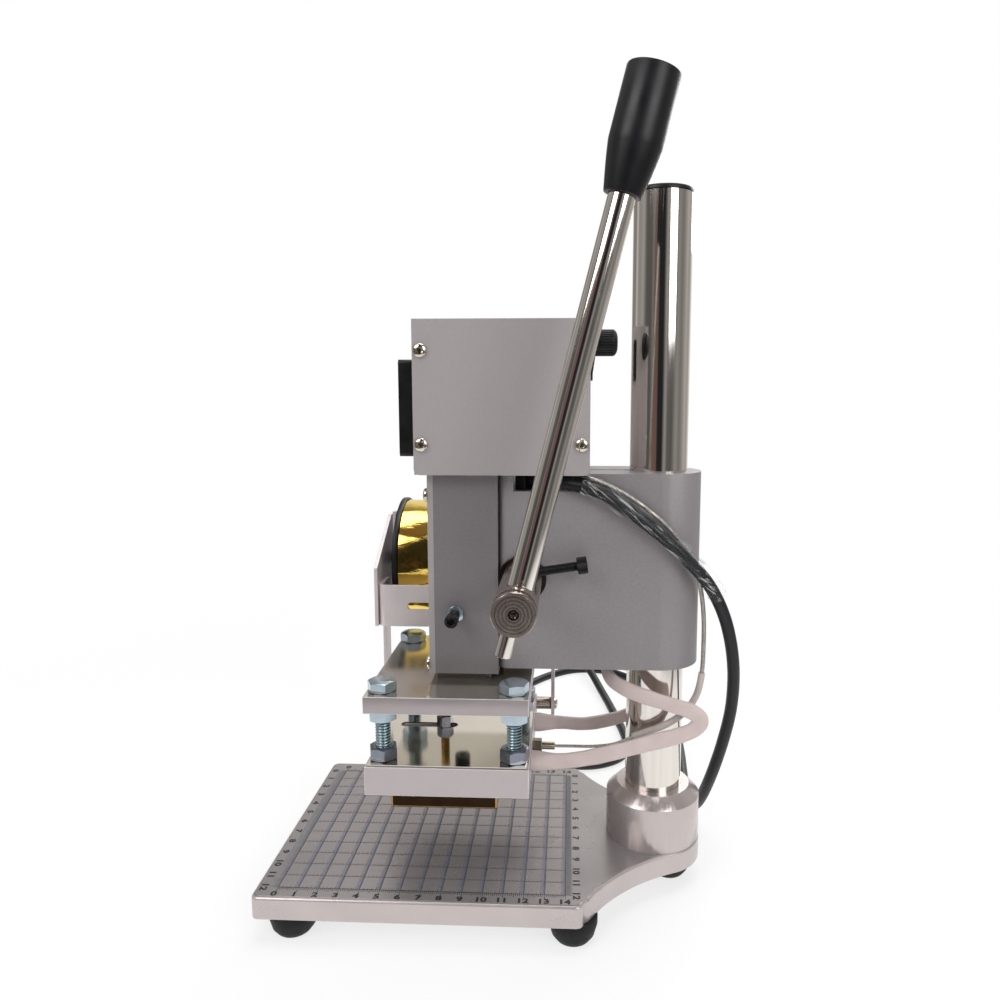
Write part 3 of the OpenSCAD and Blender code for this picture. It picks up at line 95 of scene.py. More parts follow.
class NodeTree:
    """Shader nodes of a material or a world, added by short calls."""

    def __init__(self, owner):
        owner.use_nodes = True
        self.nodes = owner.node_tree.nodes
        self.links = owner.node_tree.links

    def give(self, node, name, value):
        """Sets a node's input to a value, or links it to another node's output."""
        if isinstance(value, bpy.types.NodeSocket):
            self.links.new(value, node.inputs[name])
        else:
            node.inputs[name].default_value = value

    def add(self, kind, inputs, **settings):
        node = self.nodes.new("ShaderNode" + kind)
        for name, value in settings.items():
            setattr(node, name, value)
        for name, value in inputs.items():
            self.give(node, name, value)
        return node

    def ramp(self, source, stops):
        node = self.add("ValToRGB", {"Fac": source})
        elements = node.color_ramp.elements
        while len(elements) < len(stops):
            elements.new(0.5)
        for element, (position, colour) in zip(elements, stops):
            element.position = position
            element.color = colour
        return node.outputs["Color"]

    def spread(self, source, low_value, high_value, start=0.3, end=0.7, **settings):
        inputs = {"Value": source, "From Min": start, "From Max": end, "To Min": low_value,
                  "To Max": high_value}
        return self.add("MapRange", inputs, **settings).outputs["Result"]

    def combine(self, operation, first, second):
        return self.add("Math", {0: first, 1: second}, operation=operation).outputs["Value"]

    def mix(self, share, first, second):
        return self.add("MixShader", {"Fac": share, 1: first, 2: second}).outputs["Shader"]


class Finish(NodeTree):
    """A procedural material, whose texture nodes are added by short calls."""

    def __init__(self, name, colour, rough, metal, specular):
        self.material = bpy.data.materials.new(name)
        super().__init__(self.material)
        self.shader = self.nodes["Principled BSDF"]
        self.set(Base_Color=colour, Roughness=rough, Metallic=metal, Specular_IOR_Level=specular)
        self.coords = self.add("TexCoord", {})

    def set(self, **values):
        for name, value in values.items():
            self.give(self.shader, name.replace("_", " "), value)

    def place(self, scale, at=(0, 0, 0), turn=(0, 0, 0)):
        inputs = {"Vector": self.coords.outputs["Object"], "Location": at, "Rotation": turn, "Scale": scale}
        return self.add("Mapping", inputs, vector_type="TEXTURE").outputs["Vector"]

    def noise(self, grain, detail, turn=(0, 0, 0)):
        """Noise whose grain is about so many metres, one number or one for each axis."""
        scale = grain if isinstance(grain, tuple) else (grain, grain, grain)
        inputs = {"Vector": self.place(scale, turn=turn), "Scale": 1.0, "Detail": detail}
        return self.add("TexNoise", inputs).outputs["Fac"]

    def cells(self, grain):
        inputs = {"Vector": self.place((grain, grain, grain)), "Scale": 1.0}
        return self.add("TexVoronoi", inputs).outputs["Distance"]

    def waves(self, pitch, axis, kind="BANDS", at=(0, 0, 0), distortion=0.0):
        """Bands across an axis or rings round it, so many metres apart."""
        waves_per_unit = 20 / (2 * math.pi)
        inputs = {"Vector": self.place((pitch, pitch, pitch), at), "Scale": 1.0 / waves_per_unit,
                  "Distortion": distortion}
        settings = {"wave_type": kind, kind.lower() + "_direction": axis}
        return self.add("TexWave", inputs, **settings).outputs["Fac"]

    def colour(self, source, *stops):
        self.set(Base_Color=self.ramp(source, stops))

    def bump(self, source, depth, strength):
        """Relief of so many metres; a second call adds to the first."""
        inputs = {"Strength": strength, "Distance": depth, "Height": source}
        normal = self.shader.inputs["Normal"]
        if normal.is_linked:
            inputs["Normal"] = normal.links[0].from_socket
        self.set(Normal=self.add("Bump", inputs).outputs["Normal"])


def metres(grain):
    """A grain in millimetres, one number or one for each axis, in metres."""
    return tuple(part * MM for part in grain) if isinstance(grain, tuple) else grain * MM


def mottled(name, colour, rough, metal, grain, spread, relief=None, specular=0.5):
    """A finish whose tone and gloss change softly over its surface, with a relief of noise."""
    tone = srgb(*colour)
    finish = Finish(name, tone, rough, metal, specular)
    dark = tuple(channel * (1 - spread) for channel in tone[:3]) + (1.0,)
    light = tuple(min(1.0, channel * (1 + spread)) for channel in tone[:3]) + (1.0,)
    mottle = finish.noise(metres(grain), 4)
    finish.colour(mottle, (0.3, dark), (0.7, light))
    finish.set(Roughness=finish.spread(mottle, rough * 0.85, rough * 1.15))
    if relief:
        relief_grain, detail, depth, strength = relief
        finish.bump(finish.noise(metres(relief_grain), detail), depth * MM, strength)
    return finish


# Each finish: colour, roughness, metal, grain of its mottling and how far that spreads, then its relief as
# grain, detail, depth and strength, then its specular level. Lengths are millimetres.
SAND = (0.48, 0.2, 1.1, 0.06, (0.55, 2, 0.06, 0.6))
MILLED = (0.34, 0.45, (40, 25, 25), 0.04, ((7, 7, 0.25), 3, 0.004, 0.5))
ZINC_RELIEF = (0.7, 3, 0.008, 0.5)
ZINC = (0.2, 0.8, 4, 0.1, ZINC_RELIEF)
BRASS_GRAIN = (16, 9, 9)
BRASS_RELIEF = ((9, 9, 0.3), 3, 0.004, 0.5)
LIT = (0.4, 0.0, 2, 0.1)
INK = (0.5, 0.0, 3, 0.12)
FINISH_TABLE = {
    "sand_paint": ((142, 137, 139), *SAND),
    # Same sand paint as the arm, made darker: painted shade on the ram housing.
    "housing_paint": ((125, 120, 122), *SAND),
    "box_paint": ((160, 154, 155), 0.5, 0.1, 0.8, 0.035, (0.35, 2, 0.02, 0.5)),
    # Lighter paint on the rounded edges of the arm, ram housing and front cover: a painted highlight.
    "worn_edge": ((176, 171, 171), 0.34, 0.4, 3, 0.12, (0.5, 2, 0.03, 0.5)),
    "table_plate": ((197, 188, 186), 0.3, 0.5, 26, 0.06, ((0.25, 9, 2), 3, 0.006, 0.4)),
    "table_film": ((164, 159, 159), 0.26, 0.5, 30, 0.05, (9, 3, 0.03, 0.3)),
    "polished_steel": ((226, 220, 213), 0.09, 1.0, (3, 3, 70), 0.06, ((0.5, 0.5, 45), 2, 0.006, 0.4)),
    "turned_steel": ((168, 158, 152), 0.22, 0.85, 5, 0.08),
    "turned_aluminium": ((198, 188, 185), 0.24, 0.65, 25, 0.03),
    "milled_aluminium": ((186, 177, 178), *MILLED),
    "dull_aluminium": ((170, 161, 162), *MILLED),
    # Near-white finish for the rounded edges of the heater block and upper plate: a painted highlight.
    "bright_edge": ((250, 246, 244), 0.3, 0.1, 9, 0.03, (1.5, 2, 0.006, 0.4)),
    "satin_top": ((206, 201, 192), 0.17, 0.9, (30, 9, 9), 0.05, ((0.4, 12, 4), 3, 0.003, 0.4)),
    "mirror_sheet": ((216, 210, 198), 0.09, 1.0, 30, 0.05, (22, 2, 0.03, 0.25)),
    "bright_sheet": ((222, 212, 213), 0.34, 0.3, 12, 0.03, ((1.2, 9, 1.2), 2, 0.004, 0.4)),
    "zinc_blue": ((182, 196, 206), *ZINC),
    "zinc_dark": ((132, 136, 148), *ZINC),
    # Zinc of the bolt threads, whose grooves and crests get painted shade and painted highlight.
    "zinc_thread": ((150, 178, 186), 0.24, 0.7, 4, 0.1, ZINC_RELIEF),
    "dark_steel": ((96, 84, 80), 0.2, 1.0, 6, 0.12),
    "chrome_screw": ((216, 210, 196), 0.16, 1.0, 1.5, 0.12, (0.6, 2, 0.01, 0.5)),
    "black_oxide": ((25, 25, 28), 0.36, 0.3, 1.5, 0.3, (0.3, 2, 0.015, 0.6)),
    "brass": ((172, 142, 84), 0.22, 1.0, BRASS_GRAIN, 0.15, BRASS_RELIEF),
    # Brass darkened to a painted dark reflection, for the die and its holder; the die's rounded edges keep
    # plain brass.
    "tinted_brass": ((46, 33, 22), 0.24, 1.0, BRASS_GRAIN, 0.2, BRASS_RELIEF),
    "probe_brass": ((150, 138, 122), 0.3, 1.0, BRASS_GRAIN, 0.15, BRASS_RELIEF),
    "gold_foil": ((250, 216, 112), 0.1, 1.0, 9, 0.08, ((7, 18, 7), 4, 0.7, 0.55)),
    "cardboard": ((186, 156, 116), 0.85, 0.0, 2, 0.12, (0.4, 4, 0.05, 0.8)),
    "black_rubber": ((20, 21, 23), 0.6, 0.0, 4, 0.2, (0.5, 3, 0.03, 0.6), 0.3),
    "grip_plastic": ((15, 16, 20), 0.36, 0.0, 12, 0.25, (7, 2, 0.05, 0.25), 0.4),
    "black_plastic": ((13, 15, 18), 0.42, 0.0, 6, 0.2, (0.35, 2, 0.02, 0.7), 0.4),
    "cord_jacket": ((17, 19, 23), 0.42, 0.0, 7, 0.25, (3, 3, 0.03, 0.4), 0.4),
    "key_plastic": ((88, 90, 94), 0.5, 0.0, 3, 0.1, (0.3, 2, 0.02, 0.6)),
    "display_window": ((34, 12, 12), 0.1, 0.0, 15, 0.2),
    "red_digit": ((255, 60, 36), *LIT),
    "green_digit": ((90, 240, 120), *LIT),
    "relay_plastic": ((214, 206, 190), 0.5, 0.0, 5, 0.06, (0.4, 2, 0.02, 0.5)),
    "glass_sleeve": ((204, 188, 185), 0.68, 0.0, 9, 0.05, None, 0.3),
    "steel_braid": ((190, 186, 178), 0.35, 0.9, 1.2, 0.25),
    "heat_shrink": ((190, 179, 175), 0.5, 0.0, 5, 0.08, (2, 3, 0.06, 0.5)),
    "clear_film": ((214, 214, 214), 0.15, 0.0, 8, 0.04, None, 0.8),
    "black_ink": ((30, 30, 33), *INK),
    "blue_ink": ((86, 100, 126), *INK),
    "red_ink": ((96, 68, 68), *INK),
    "grey_ink": ((126, 123, 125), *INK),
    "white_ink": ((226, 226, 226), *INK),
}
LOOKS = {name: mottled(name, *row) for name, row in FINISH_TABLE.items()}
BOLT_PITCH = 1.5 * MM


def add_patterns():
    """Patterns and reliefs that only some finishes have."""
    for name in ("sand_paint", "housing_paint"):
        LOOKS[name].bump(LOOKS[name].cells(1.5 * MM), 0.035 * MM, 0.4)
    turned = LOOKS["turned_steel"]
    rings = turned.waves(1.6 * MM, "X", "RINGS", SHAFT_AT, 0.5)
    turned.colour(rings, (0.1, srgb(146, 134, 126)), (0.9, srgb(186, 174, 166)))
    turned.bump(rings, 0.012 * MM, 0.5)
    # Dark bands in the thread's grooves and light bands on its crests: painted shade and painted highlight.
    thread = LOOKS["zinc_thread"]
    thread.colour(thread.waves(BOLT_PITCH, "Z"), (0.2, srgb(58, 76, 82)), (0.75, srgb(176, 200, 206)))
    bush = LOOKS["dark_steel"]
    bush.bump(bush.waves(0.5 * MM, "X", "RINGS", SHAFT_AT), 0.005 * MM, 0.4)
    foil = LOOKS["gold_foil"]
    foil.bump(foil.waves(0.5 * MM, "Y", distortion=4.0), 0.01 * MM, 0.3)
    grip = LOOKS["grip_plastic"]
    grip.bump(grip.noise(0.4 * MM, 2), 0.012 * MM, 0.5)
    LOOKS["display_window"].set(Coat_Weight=1.0, Coat_Roughness=0.05)
    for name in ("red_digit", "green_digit"):
        LOOKS[name].set(Emission_Color=srgb(*FINISH_TABLE[name][0]), Emission_Strength=1.6)
    sleeve = LOOKS["glass_sleeve"]
    sleeve.bump(sleeve.waves(0.8 * MM, "DIAGONAL"), 0.03 * MM, 0.5)
    sleeve.bump(sleeve.noise(metres((9, 9, 1.2)), 3), 0.06 * MM, 0.4)
    braid = LOOKS["steel_braid"]
    braid.bump(braid.waves(0.7 * MM, "DIAGONAL"), 0.1 * MM, 0.8)
    film = LOOKS["clear_film"]
    along_cord = math.radians(-41)
    creases = film.noise(metres((1.6, 16, 1.3)), 3, (along_cord, 0, 0))
    film.bump(creases, 0.6 * MM, 0.6)
    film.set(Alpha=film.spread(creases, 0.02, 0.5, 0.56, 0.68))


add_patterns()
FINISH = {name: look.material for name, look in LOOKS.items()}


# Finishes and soft edges of the CAD nodes

def dress(node, finish, edge=0.0, edge_finish=None):
    """Gives a CAD node its finish, and rounds its sharp edges by modifiers."""
    obj = NODES[node]
    obj.data.materials.clear()
    obj.data.materials.append(FINISH[finish])
    if edge_finish:
        obj.data.materials.append(FINISH[edge_finish])
    if edge == 0.0:
        return
    weld = obj.modifiers.new("weld", "WELD")
    weld.merge_threshold = 0.002 * MM
    flat = obj.modifiers.new("flat", "DECIMATE")
    flat.decimate_type = "DISSOLVE"
    flat.angle_limit = math.radians(0.4)
    soft = obj.modifiers.new("soft_edges", "BEVEL")
    soft.width = edge
    soft.segments = 2
    soft.limit_method = "ANGLE"
    soft.angle_limit = math.radians(38)
    soft.use_clamp_overlap = True
    soft.harden_normals = True
    # The rounded edges take the second finish: a painted highlight, or plain brass on the die.
    if edge_finish:
        soft.material = 1


DRESS = [
    ("rubber_feet", "black_rubber", 0.6),
    ("base_screws", "black_oxide", 0.2),
    ("column_collar", "turned_aluminium", 0.5),
    ("column_anchor", "turned_steel", 0.0),
    # The rounded edges of the arm, ram housing and front cover carry a painted highlight.
    ("arm", "sand_paint", 0.8, "worn_edge"),
    ("arm_screws", "black_oxide", 0.2),
    ("shaft_bushes", "dark_steel", 0.3),
    # The ram housing takes the sand paint with painted shade.
    ("ram_housing", "housing_paint", 0.7, "worn_edge"),
    ("front_cover", "box_paint", 0.5, "worn_edge"),
    ("brake_pad", "brass", 0.0),
    ("control_box", "box_paint", 0.5),
    ("box_cover", "box_paint", 0.4),
    ("switch_frame", "black_plastic", 0.5),
    ("fuse_holder", "black_plastic", 0.4),
    ("power_relay", "relay_plastic", 0.6),
    ("cord_clamp", "black_plastic", 0.6),
    ("foil_bracket", "bright_sheet", 0.3),
    ("foil_ears", "bright_sheet", 0.3),
    ("guide_bar", "turned_steel", 0.4),
    ("pinion_shaft", "turned_steel", 0.6),
    ("pinion", "turned_steel", 0.0),
    ("shaft_clip", "black_oxide", 0.1),
    ("ram", "turned_steel", 0.5),
    ("rack", "turned_steel", 0.0),
    ("ram_screws", "black_oxide", 0.2),
    # The heater block's rounded edges carry a painted highlight.
    ("heater_block", "milled_aluminium", 0.9, "bright_edge"),
    ("reflector_sheet", "mirror_sheet", 0.0),
    ("heater_cartridges", "turned_steel", 0.4),
    ("thermocouple_probe", "probe_brass", 0.3),
    # The die and its holder carry a painted dark reflection.
    ("die_holder", "tinted_brass", 0.2),
    ("stamping_die", "tinted_brass", 1.1, "brass"),
    ("foil_axle", "black_oxide", 0.4),
    ("roll_discs", "black_plastic", 0.5),
    ("foil_core", "cardboard", 0.2),
    ("switch_rocker", "black_plastic", 0.5),
    ("mains_plug", "black_plastic", 0.8),
]
for node_name, finish_name, edge_mm, *edge_finish_name in DRESS:
    dress(node_name, finish_name, edge_mm * MM, *edge_finish_name)


# Mesh helpers

def piece(name, shape, finish, body, replaces=(), sharp=38.0):
    """A new mesh piece that rides on a body, smooth apart from its sharp edges."""
    mesh = bpy.data.meshes.new(name)
    mesh.from_pydata([tuple(v) for v in shape.verts], [], shape.faces)
    mesh.validate()
    fix = bmesh.new()
    fix.from_mesh(mesh)
    bmesh.ops.recalc_face_normals(fix, faces=fix.faces)
    fix.to_mesh(mesh)
    fix.free()
    return dressed_mesh(name, mesh, finish, body, replaces, sharp)


def dressed_mesh(name, mesh, finish, body, replaces=(), sharp=38.0):
    """An object of a mesh, with one finish or several and body it has, and what it replaces."""
    mesh.shade_smooth()
    mesh.set_sharp_from_angle(angle=math.radians(sharp))
    for finish_name in [finish] if isinstance(finish, str) else finish:
        mesh.materials.append(FINISH[finish_name])
    obj = linked(name, mesh)
    if replaces:
        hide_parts(*replaces)
    if body:
        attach(obj, body)
    return obj


def mesh_of(copy, name):
    mesh = bpy.data.meshes.new(name)
    copy.to_mesh(mesh)
    copy.free()
    return mesh


def evaluated_mesh(obj):
    """Mesh of a curve, or of an object with its modifiers applied."""
    bpy.context.view_layer.update()
    return bpy.data.meshes.new_from_object(obj.evaluated_get(bpy.context.evaluated_depsgraph_get()))


def second_finish(obj, faces):
    """Gives some faces of a piece its second finish."""
    for index in faces:
        obj.data.polygons[index].material_index = 1


def angles(steps):
    """Angles of equal steps round a circle."""
    return [2 * math.pi * k / steps for k in range(steps)]


def polar(radius, angle):
    return (radius * math.cos(angle), radius * math.sin(angle))


def circle(radius, height, steps):
    return [polar(radius, angle) + (height,) for angle in angles(steps)]


def hex_reach(flat, angle):
    """Distance from a hexagon's middle to its side, at an angle from the middle of a flat."""
    return flat / math.cos((angle + math.pi / 6) % (math.pi / 3) - math.pi / 6)


class Shape:
    """Vertices and faces of one piece, gathered from several parts."""

    def __init__(self):
        self.verts = []
        self.faces = []

    def add(self, verts, faces, place=Matrix.Identity(4)):
        start = len(self.verts)
        self.verts += [place @ Vector(v) for v in verts]
        self.faces += [tuple(start + i for i in face) for face in faces]
        return self

    def rings(self, rings, place=Matrix.Identity(4), closed=True):
        """A skin over rings of equally many points, with a cap on each end."""
        count = len(rings[0])
        verts = [point for ring in rings for point in ring]
        faces = []
        for i in range(len(rings) - 1):
            for k in range(count):
                after = (k + 1) % count
                faces.append((i * count + k, i * count + after, (i + 1) * count + after, (i + 1) * count + k))
        if closed:
            faces.append(tuple(reversed(range(count))))
            faces.append(tuple((len(rings) - 1) * count + k for k in range(count)))
        return self.add(verts, faces, place)

    def lathe(self, profile, place=Matrix.Identity(4), steps=72):
        """A turned body about Z from (radius, height) points, with a cap on each end."""
        return self.rings([circle(radius, height, steps) for radius, height in profile], place)

    def box(self, corner_a, corner_b, place=Matrix.Identity(4)):
        xs, ys, zs = zip(corner_a, corner_b)
        verts = [(x, y, z) for x in xs for y in ys for z in zs]
        faces = [(0, 1, 3, 2), (4, 6, 7, 5), (0, 4, 5, 1), (2, 3, 7, 6), (0, 2, 6, 4), (1, 5, 7, 3)]
        return self.add(verts, faces, place)


def facing(at, direction):
    """A frame at a point, whose Z runs along a direction."""
    return Matrix.Translation(at) @ Vector(direction).to_track_quat("Z", "Y").to_matrix().to_4x4()


def hex_rings(across, hole, bottom, top, chamfer=math.radians(28), steps=72):
    """Rings of a hexagon nut or head with chamfered corners, from its hole round its outside."""
    flat = across / 2
    face_r = flat * 0.95
    lower = []
    upper = []
    for angle in angles(steps):
        radius = hex_reach(flat, angle)
        drop = (radius - face_r) * math.tan(chamfer)
        lower.append(polar(radius, angle) + (bottom + drop,))
        upper.append(polar(radius, angle) + (top - drop,))
    return [circle(hole, bottom, steps), circle(face_r, bottom, steps), lower, upper,
            circle(face_r, top, steps), circle(hole, top, steps)]


def thread_rings(radius, pitch, bottom, top, depth, steps=28, per_turn=6):
    """Rings of a threaded rod: a helix of ridges round a straight core."""
    rings = []
    count = int((top - bottom) / pitch * per_turn)
    for i in range(count + 1):
        height = bottom + (top - bottom) * i / count
        ring = []
        for k, angle in enumerate(angles(steps)):
            phase = (height / pitch - k / steps) % 1.0
            ridge = radius - depth * abs(2 * phase - 1)
            ring.append(polar(ridge, angle) + (height,))
        rings.append(ring)
    return rings


def spline_path(points, steps):
    """Catmull-Rom curve through points, the same one that the CAD tubes follow."""
    path = []
    last = len(points) - 1
    for i in range(last):
        p0, p1 = points[max(i - 1, 0)], points[i]
        p2, p3 = points[i + 1], points[min(i + 2, last)]
        for k in range(steps):
            t = k / steps
            path.append(0.5 * (2 * p1 + (p2 - p0) * t + (2 * p0 - 5 * p1 + 4 * p2 - p3) * t ** 2
                               + (3 * p1 - p0 - 3 * p2 + p3) * t ** 3))
    path.append(points[last])
    return path


def machine_points(route):
    """Route points in millimetres from the machine's middle, as vectors in the frame."""
    return [Vector((x * MM + MID_X, y * MM, z * MM)) for x, y, z in route]


def sweep(path, section, first_side=Vector((0, 0.1, 1))):
    """Rings along a path. section(share, length) gives the ring's points as (along side, along across)."""
    lengths = [0.0]
    for a, b in zip(path, path[1:]):
        lengths.append(lengths[-1] + (b - a).length)
    side = first_side
    rings = []
    for i, point in enumerate(path):
        along = (path[min(i + 1, len(path) - 1)] - path[max(i - 1, 0)]).normalized()
        side = (side - side.dot(along) * along).normalized()
        across = along.cross(side)
        ring = section(lengths[i] / lengths[-1], lengths[i])
        rings.append([point + side * u + across * v for u, v in ring])
    return rings


def round_section(radius, sides):
    def section(share, length):
        return [polar(radius, angle) for angle in angles(sides)]
    return section


# Mains cord: down behind the column and along the floor, within 6 mm of its solid's route, in easier bends

CORD_ROUTE = [
    (13, 20.5, 219), (15.8, 25.7, 218.9), (20.28, 32.56, 219.2), (24.57, 40.5, 218.77), (27.2, 48.95, 217),
    (27.8, 59.05, 213.2), (27.2, 72.1, 203.8), (27.2, 85, 194), (26, 98, 182), (21, 111, 167), (14, 121, 147),
    (7, 127, 122), (-1, 128.5, 96), (-10, 126, 70), (-22, 121.5, 42), (-38, 118, 20), (-60, 116.5, 7.5),
    (-92, 118, 4), (-170, 123, 3.5), (-245, 115, 3.5), (-283, 100, 3.5),
    (-307, 76, 3.5), (-310, 48, 3.5), (-292, 22, 3.5), (-262, 0, 3.5), (-228, -20, 3.5), (-192, -32, 3.5),
    (-160, -26, 3.5), (-138, -2, 3.5), (-128.5, 17, 3.5), (-119.5, 35, 3.5), (-115.9, 48.8, 3.5),
    (-118.4, 62.9, 3.5), (-126.4, 74.8, 3.5), (-138.6, 82.3, 3.5), (-152.7, 84.1, 3.5), (-174, 82.6, 3.5),
    (-198, 79, 3.5), (-250, 70, 4.4), (-308, 54, 10.4), (-340, 28, 6), (-348, 2, 6), (-349, -20, 8),
    (-349, -34, 8)]
CORD_D = 6.5 * MM
cord_path = spline_path(machine_points(CORD_ROUTE), 8)
cord_shape = Shape().rings(sweep(cord_path, round_section(CORD_D / 2, 20)))
cord = piece("mains_cord_jacket", cord_shape, "cord_jacket", None,
             ["mains_cord"])
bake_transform(cord)


def strain_relief():
    """Ribbed boot on the cord where it leaves the notch, tapered towards the cord."""
    steps_from, steps_to = 5, 31
    path = cord_path[steps_from:steps_to]
    thick = 4.15 * MM
    thin = CORD_D / 2 + 0.2 * MM
    rib_pitch = 3.2 * MM

    def section(share, length):
        rib = 0.88 if (length / rib_pitch) % 1 > 0.6 and 0.08 < share < 0.95 else 1.0
        radius = max(thin, (thick + (thin - thick) * share) * rib)
        return round_section(radius, 24)(share, length)

    fine = [a.lerp(b, k / 4) for a, b in zip(path, path[1:]) for k in range(4)] + [path[-1]]
    boot = Shape().rings(sweep(fine, section))
    relief = piece("cord_strain_relief", boot, "black_plastic", None)
    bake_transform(relief)
    return relief


def film_wrap():
    """Wrinkled clear film round the cord and the thermocouple lead beside the arm."""
    steps_from, steps_to = 30, 100
    lowest = 160 * MM
    path = [point for point in cord_path[steps_from:steps_to] if point.z > lowest]
    half_w, half_t, aside = 5.2, 4.2, 0.9
    crease_depth = 0.022
    wrinkle = random.Random(5)
    folds = [(wrinkle.randint(1, 6), wrinkle.uniform(0.1, 0.5), wrinkle.uniform(0, 6.28)) for _ in range(9)]

    def section(share, length):
        points = []
        for angle in angles(40):
            crease = sum(math.sin(turns * angle + rate * length / MM + phase) for turns, rate, phase in folds)
            reach = 1 + crease_depth * crease
            across = (aside + half_w * math.cos(angle) * reach) * MM
            points.append((across, half_t * math.sin(angle) * reach * MM))
        return points

    skin = Shape().rings(sweep(path, section), closed=False)
    wrap = piece("cord_film_wrap", skin, "clear_film", None, (), 25)
    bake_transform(wrap)
    return wrap


strain_relief()
film_wrap()


# Camera, fitted to the photograph's printed grid and column

CAMERA_AT = Vector((MID_X / MM + 417.6, 40.0, 264.1)) * MM
CAMERA_FORWARD = Vector((-0.9917, -0.0463, -0.12)).normalized()
camera_data = bpy.data.cameras.new("camera")
camera = linked("camera", camera_data)
camera_data.sensor_width = 36.0
camera_data.lens = 28.65
camera_data.shift_x = -0.0323
camera_data.shift_y = -0.0119
camera_data.clip_start = 0.02
camera_right = CAMERA_FORWARD.cross(UP).normalized()
camera_up = camera_right.cross(CAMERA_FORWARD)
camera.matrix_world = Matrix((
    (camera_right.x, camera_up.x, -CAMERA_FORWARD.x, CAMERA_AT.x),
    (camera_right.y, camera_up.y, -CAMERA_FORWARD.y, CAMERA_AT.y),
    (camera_right.z, camera_up.z, -CAMERA_FORWARD.z, CAMERA_AT.z),
    (0, 0, 0, 1)))
bpy.context.scene.camera = camera


# Stage: white floor, soft lamps and a studio that the metal reflects

WHITE = (1, 1, 1, 1)


def shown_rays(tree):
    """Sockets that are 1 for camera rays, for glossy rays, and for all rays that see the background."""
    rays = tree.add("LightPath", {}).outputs
    either = tree.combine("MAXIMUM", rays["Is Glossy Ray"], rays["Is Transmission Ray"])
    shown = tree.combine("MAXIMUM", rays["Is Camera Ray"], either)
    return rays["Is Camera Ray"], rays["Is Glossy Ray"], shown


def white_floor():
    """Pale floor that keeps the object's shadow near it, turns white further off, and lets metal see past."""
    material = bpy.data.materials.new("white_floor")
    tree = NodeTree(material)
    shader = tree.nodes["Principled BSDF"]
    tree.give(shader, "Base Color", (0.93, 0.93, 0.93, 1))
    tree.give(shader, "Roughness", 0.9)
    glow = tree.add("Emission", {"Color": WHITE, "Strength": 1.0})
    at = tree.add("TexCoord", {}).outputs["Object"]
    distance = tree.add("VectorMath", {0: at, 1: (MID_X, 0, 0)}, operation="DISTANCE").outputs["Value"]
    whiteness = tree.spread(distance, 0.74, 1.0, 0.22, 0.75, interpolation_type="SMOOTHSTEP")
    _, glossy, shown = shown_rays(tree)
    share = tree.combine("MULTIPLY", whiteness, shown)
    near = tree.mix(share, shader.outputs["BSDF"], glow.outputs["Emission"])
    far_off = tree.spread(distance, 0.0, 1.0, 0.38, 0.50)
    open_share = tree.combine("MULTIPLY", far_off, glossy)
    see_through = tree.add("BsdfTransparent", {})
    whole = tree.mix(open_share, near, see_through.outputs["BSDF"])
    tree.give(tree.nodes["Material Output"], "Surface", whole)
    return material


FLOOR_HALF = 6.0
floor_mesh = bpy.data.meshes.new("floor")
floor_mesh.from_pydata(
    [(-FLOOR_HALF, -FLOOR_HALF, 0), (FLOOR_HALF, -FLOOR_HALF, 0), (FLOOR_HALF, FLOOR_HALF, 0),
     (-FLOOR_HALF, FLOOR_HALF, 0)], [], [(0, 1, 2, 3)])
floor_mesh.materials.append(white_floor())
floor = linked("floor", floor_mesh)


# Walls of the studio by their share of a turn, from -X through -Y, +X and +Y: white behind the object,
# grey at its sides, and a dark gap with a brown stripe where the camera stands
BLACK = (0.02, 0.02, 0.022)
BROWN = (0.16, 0.10, 0.09)
STUDIO = [
    (0.00, 0.95), (0.04, 0.80), (0.06, 0.28), (0.14, 0.25), (0.17, 0.60), (0.20, 0.30), (0.27, 0.38),
    (0.31, 0.12), (0.37, 0.09), (0.39, 0.20), (0.41, BROWN), (0.45, BROWN), (0.46, BLACK), (0.51, BLACK),
    (0.54, 0.34), (0.57, 0.11), (0.62, 0.11), (0.67, 0.30), (0.72, 0.20), (0.80, 0.46), (0.85, 0.38),
    (0.93, 0.95), (1.00, 0.95)]
AMBIENT = 0.27


def wall_colour(tone):
    """A wall's colour, from a colour or from the value of a warm grey."""
    if isinstance(tone, tuple):
        return tone + (1,)
    return (tone, tone * 0.97, tone * 0.94, 1)


def studio_world():
    """White to the camera, walls with stripes to metal and glass, and plain dim light to the rest."""
    world = bpy.data.worlds.new("studio")
    tree = NodeTree(world)
    around = tree.add("TexCoord", {}).outputs["Generated"]
    azimuth = tree.add("TexGradient", {"Vector": around}, gradient_type="RADIAL")
    walls = tree.ramp(azimuth.outputs["Fac"], [(share, wall_colour(tone)) for share, tone in STUDIO])

    def background(colour, strength):
        return tree.add("Background", {"Color": colour, "Strength": strength}).outputs["Background"]

    to_camera, _, shown = shown_rays(tree)
    lit = tree.mix(shown, background(WHITE, AMBIENT), background(walls, 1.0))
    tree.give(tree.nodes["World Output"], "Surface", tree.mix(to_camera, lit, background(WHITE, 1.0)))
    return world


bpy.context.scene.world = studio_world()
bpy.context.scene.view_settings.view_transform = "Standard"


def soft_lamp(name, at, size, energy):
    data = bpy.data.lights.new(name, "AREA")
    data.shape = "RECTANGLE"
    data.size, data.size_y = size
    data.energy = energy
    lamp = linked(name, data)
    lamp.matrix_world = facing(Vector(at), Vector(at) - Vector(LIT_POINT))


